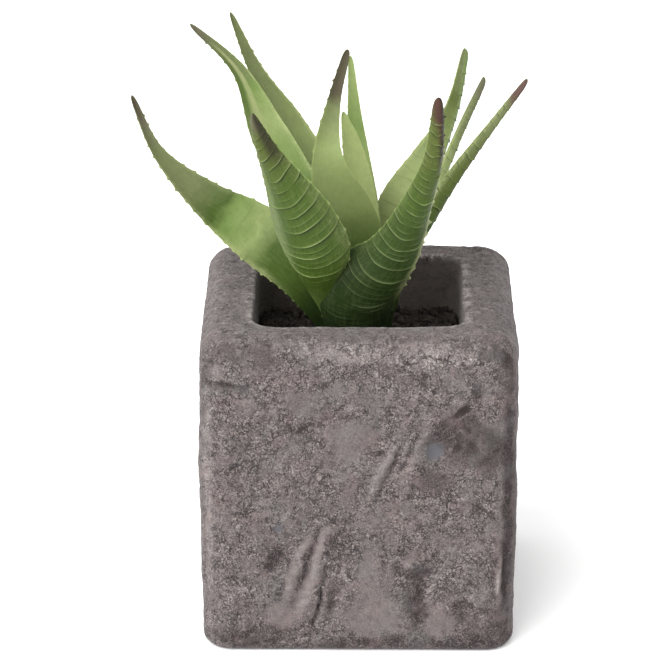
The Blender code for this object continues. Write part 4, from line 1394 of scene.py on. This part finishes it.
class PottedAloeLeafLooks(bpy.types.PropertyGroup):
    ridge_lift: strength_choice("Ridge height", "How high the ridges stand, against the solids", 1.0, most=2)
    tooth: length_choice("Tooth length", "How far the margin teeth stand out", 0.5 * MM, 2 * MM)
    roughness: strength_choice("Roughness", "How matte the skin is", 0.47, least=0.1)
    gloss: strength_choice("Gloss", "How much the skin mirrors", 0.14)
    deep: colour_choice("Deep green", "Low on the plant and on the shaded backs", 50, 70, 27)
    green: colour_choice("Green", "The main green of the backs", 70, 92, 30)
    olive: colour_choice("Olive green", "The upper backs of the front leaves", 86, 98, 42)
    fresh: colour_choice("Fresh green", "The lighter green of the blades", 118, 142, 74)
    lime: colour_choice("Yellow green", "The young leaves in the middle", 174, 188, 122)
    # Pale also paints the highlight on the ridges' lips
    pale: colour_choice("Pale green", "The bright inner faces and the ridges' lips", 152, 168, 106)
    sage: colour_choice("Grey green", "The weathered upper parts", 114, 122, 80)
    butter: colour_choice("Pale margin", "The margins and the teeth", 182, 188, 134)
    # This tone is painted shadow under the ridges' lips and painted shade at the leaves' feet
    shadow: colour_choice("Groove", "The grooves under the ridges and the dark foot", 36, 50, 24)
    bark: colour_choice("Dry tip", "The grey-brown of a dry tip", 84, 76, 58)
    rust: colour_choice("Red tip", "The reddish brown of the front right tip", 80, 54, 46)
    plum: colour_choice("Purple tip", "The purple brown of the right-hand tips", 96, 74, 66)
    dun: colour_choice("Grey tip", "The paler grey brown of a withered tip", 108, 103, 84)
    burnt: colour_choice("Burnt edge", "The darkest brown beside a tip", 46, 42, 26)

    def palette(self):
        return {tone: tuple(getattr(self, tone)) for tone in LEAF_TONES}


class PottedAloePotLooks(bpy.types.PropertyGroup):
    grit: strength_choice("Grit", "How strong the crumbly relief is", 1.0, most=2)
    rim_wear: strength_choice("Rim wear", "How smooth the rim is rubbed", 0.3)
    grain_depth: length_choice("Grain depth", "Depth of the sandy grain", 0.15 * MM, 1 * MM)
    cement_colour: colour_choice("Cement", "The main pinkish grey", 131, 122, 120)
    pale_colour: colour_choice("Pale grain", "The light grains", 157, 148, 145)
    dark_colour: colour_choice("Dark grain", "The grains in shade", 108, 99, 98)
    pit_colour: colour_choice("Pits", "Pits and cracks", 62, 54, 54)
    speck_colour: colour_choice("Specks", "Loose light specks", 188, 180, 174)
    glaze_colour: colour_choice("Smooth spots", "Where the mould left it smooth", 99, 99, 104)
    cool_colour: colour_choice("Cool tint", "Greyer patches", 118, 118, 117)
    warm_colour: colour_choice("Warm tint", "Pinker patches", 140, 122, 119)
    rim_colour: colour_choice("Rim", "The rubbed rim", 117, 109, 107)
    inside_colour: colour_choice("Inside", "The damp inner wall", 126, 117, 111)


class PottedAloeSoilLooks(bpy.types.PropertyGroup):
    dark_colour: colour_choice("Soil", "Damp peat", 54, 49, 46)
    pale_colour: colour_choice("Soil crumbs", "Drier crumbs", 98, 88, 82)
    twig_colour: colour_choice("Twigs", "Bits of bark and root", 96, 82, 68)


class PottedAloeStudioLooks(bpy.types.PropertyGroup):
    fill: strength_choice("Fill light", "Light from all round", 1.15, most=3)
    key: strength_choice("Key light", "Soft light from the upper left", 3.9, most=20)
    floor_colour: bpy.props.FloatVectorProperty(
        name="Floor", description="The pale floor", subtype="COLOR", size=3, min=0, max=1, default=(0.99,) * 3
    )


def group_of(kind, name, description):
    return bpy.props.PointerProperty(type=kind, name=name, description=description)


class PottedAloeLooks(bpy.types.PropertyGroup):
    leaf: group_of(PottedAloeLeafLooks, "Leaves", "Leaves and stem")
    pot: group_of(PottedAloePotLooks, "Pot", "The cast pot")
    soil: group_of(PottedAloeSoilLooks, "Soil", "The filling")
    studio: group_of(PottedAloeStudioLooks, "Studio", "Floor and lights")


class POTTED_ALOE_OT_pot(bpy.types.Operator):
    """Make the cast pot's crumbly wall and worn rim"""

    bl_idname = "potted_aloe.pot"
    bl_label = "Pot"

    def execute(self, context):
        looks = context.scene.potted_aloe.pot
        dress("pot_wall", pot_mesh(looks.grit), pot_finish(looks), "cement", "pot")
        return {"FINISHED"}


class POTTED_ALOE_OT_soil(bpy.types.Operator):
    """Make the soil with its loose crumbs and twigs"""

    bl_idname = "potted_aloe.soil"
    bl_label = "Soil"

    def execute(self, context):
        looks = context.scene.potted_aloe.soil
        draw = random.Random(SOIL_SEED)
        dark, pale = looks.dark_colour, looks.pale_colour
        dress("soil_bed", soil_mesh(), soil_finish("damp soil", dark, pale, 0.7), "soil", "soil")
        dress("soil_crumbs", grain_mesh(draw), soil_finish("soil crumbs", dark, pale, 0.6), "soil")
        dress("soil_twigs", twig_mesh(draw), soil_finish("twigs", pale, looks.twig_colour, 0.7), "soil")
        return {"FINISHED"}


class POTTED_ALOE_OT_stem(bpy.types.Operator):
    """Make the short stem with its leaf scars"""

    bl_idname = "potted_aloe.stem"
    bl_label = "Stem"

    def execute(self, context):
        palette = context.scene.potted_aloe.leaf.palette()
        dress("stem_stalk", stem_mesh(), stem_finish(palette), "stalk", "stem")
        return {"FINISHED"}


class POTTED_ALOE_OT_leaves(bpy.types.Operator):
    """Make the eleven leaves with ridges, teeth and dry tips"""

    bl_idname = "potted_aloe.leaves"
    bl_label = "Leaves"

    def execute(self, context):
        looks = context.scene.potted_aloe.leaf
        for seed, (name, own) in enumerate(LEAVES.items()):
            leaf = LEAF_DEFAULTS | own
            mesh = leaf_mesh(name + "_blade", leaf, seed, looks)
            dress(name + "_blade", mesh, leaf_finish(name, leaf, looks), "leaf", name, sharp=80)
        return {"FINISHED"}


class POTTED_ALOE_OT_studio(bpy.types.Operator):
    """Set up the pale floor, the soft lights and the camera"""

    bl_idname = "potted_aloe.studio"
    bl_label = "Studio"

    def execute(self, context):
        scene = context.scene
        looks = scene.potted_aloe.studio
        scene.view_settings.view_transform = "Standard"
        lay_floor(scene, looks.floor_colour)
        set_lights(scene, looks)
        place_camera(scene)
        return {"FINISHED"}


def lay_floor(scene, tint):
    """A wide pale disc under the pot."""
    bm = bmesh.new()
    bmesh.ops.create_circle(bm, cap_ends=True, segments=FLOOR_SIDES, radius=FLOOR_RADIUS)
    mesh = bpy.data.meshes.new("floor")
    bm.to_mesh(mesh)
    bm.free()
    floor = bpy.data.objects.new("floor", mesh)
    scene.collection.objects.link(floor)
    made = Finish("pale floor", Specular_IOR_Level=0.2)
    soft = made.grain(40 * MM, 2)
    colour = made.coated(tint, (made.step(soft, 0.3, 0.7, 0, 0.02), (0.9, 0.9, 0.9)))
    rough = made.step(soft, 0.3, 0.7, 0.8, 0.9)
    mesh.materials.append(made.finished(colour, rough, made.bump(soft, 0.1 * MM)))


def set_lights(scene, looks):
    """White light from all round, and one soft key light."""
    world = bpy.data.worlds.new("studio")
    world.use_nodes = True
    sky = world.node_tree.nodes["Background"]
    sky.inputs["Color"].default_value = (1, 1, 1, 1)
    sky.inputs["Strength"].default_value = looks.fill
    scene.world = world
    light = bpy.data.lights.new("key light", "SUN")
    light.energy = looks.key
    light.angle = KEY_SPREAD
    key = bpy.data.objects.new("key light", light)
    key.rotation_euler = KEY_TOWARDS.to_track_quat("-Z", "Y").to_euler()
    scene.collection.objects.link(key)


def place_camera(scene):
    """A long lens from the front and above, turned so that the anchor lies where the photo has it."""
    data = bpy.data.cameras.new("camera")
    data.sensor_width = SENSOR
    data.lens = FOCUS / PICTURE * SENSOR
    camera = bpy.data.objects.new("camera", data)
    tilt = math.radians(CAMERA_HEIGHT_ANGLE)
    back = Vector((0, -math.cos(tilt), math.sin(tilt)))
    camera.location = LOOK_AT + back * CAMERA_DISTANCE
    up = Vector((0, math.sin(tilt), math.cos(tilt)))
    away = (camera.location - ANCHOR).dot(back)
    aim = ANCHOR + (up * ANCHOR_BELOW - Vector((1, 0, 0)) * ANCHOR_RIGHT) * away / FOCUS
    camera.rotation_euler = (aim - camera.location).to_track_quat("-Z", "Y").to_euler()
    scene.collection.objects.link(camera)
    scene.camera = camera


class POTTED_ALOE_PT_sidebar(bpy.types.Panel):
    """The looks, and a button for each group of pieces"""

    bl_idname = "POTTED_ALOE_PT_sidebar"
    bl_label = "Potted Aloe"
    bl_space_type = "VIEW_3D"
    bl_region_type = "UI"
    bl_category = "Potted Aloe"

    def draw(self, context):
        looks = context.scene.potted_aloe
        for part, makers in MAKERS.items():
            for maker in makers:
                self.layout.operator(maker.bl_idname)
            group = getattr(looks, part)
            for name in group.bl_rna.properties.keys():
                if name not in ("rna_type", "name"):
                    self.layout.prop(group, name)


# The operators that use each group of looks
MAKERS = {
    "pot": (POTTED_ALOE_OT_pot,),
    "soil": (POTTED_ALOE_OT_soil,),
    "leaf": (POTTED_ALOE_OT_stem, POTTED_ALOE_OT_leaves),
    "studio": (POTTED_ALOE_OT_studio,),
}
CLASSES = (
    PottedAloeLeafLooks,
    PottedAloePotLooks,
    PottedAloeSoilLooks,
    PottedAloeStudioLooks,
    PottedAloeLooks,
    *(maker for makers in MAKERS.values() for maker in makers),
    POTTED_ALOE_PT_sidebar,
)


def register():
    for kind in CLASSES:
        bpy.utils.register_class(kind)
    bpy.types.Scene.potted_aloe = bpy.props.PointerProperty(type=PottedAloeLooks)


def unregister():
    del bpy.types.Scene.potted_aloe
    for kind in reversed(CLASSES):
        bpy.utils.unregister_class(kind)


def main():
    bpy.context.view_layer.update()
    for name in ("Cube", "Light", "Camera"):
        if name in bpy.data.objects:
            bpy.data.objects.remove(bpy.data.objects[name])
    register()
    bpy.ops.potted_aloe.pot()
    bpy.ops.potted_aloe.soil()
    bpy.ops.potted_aloe.stem()
    bpy.ops.potted_aloe.leaves()
    bpy.ops.potted_aloe.studio()


if __name__ == "__main__":
    main()
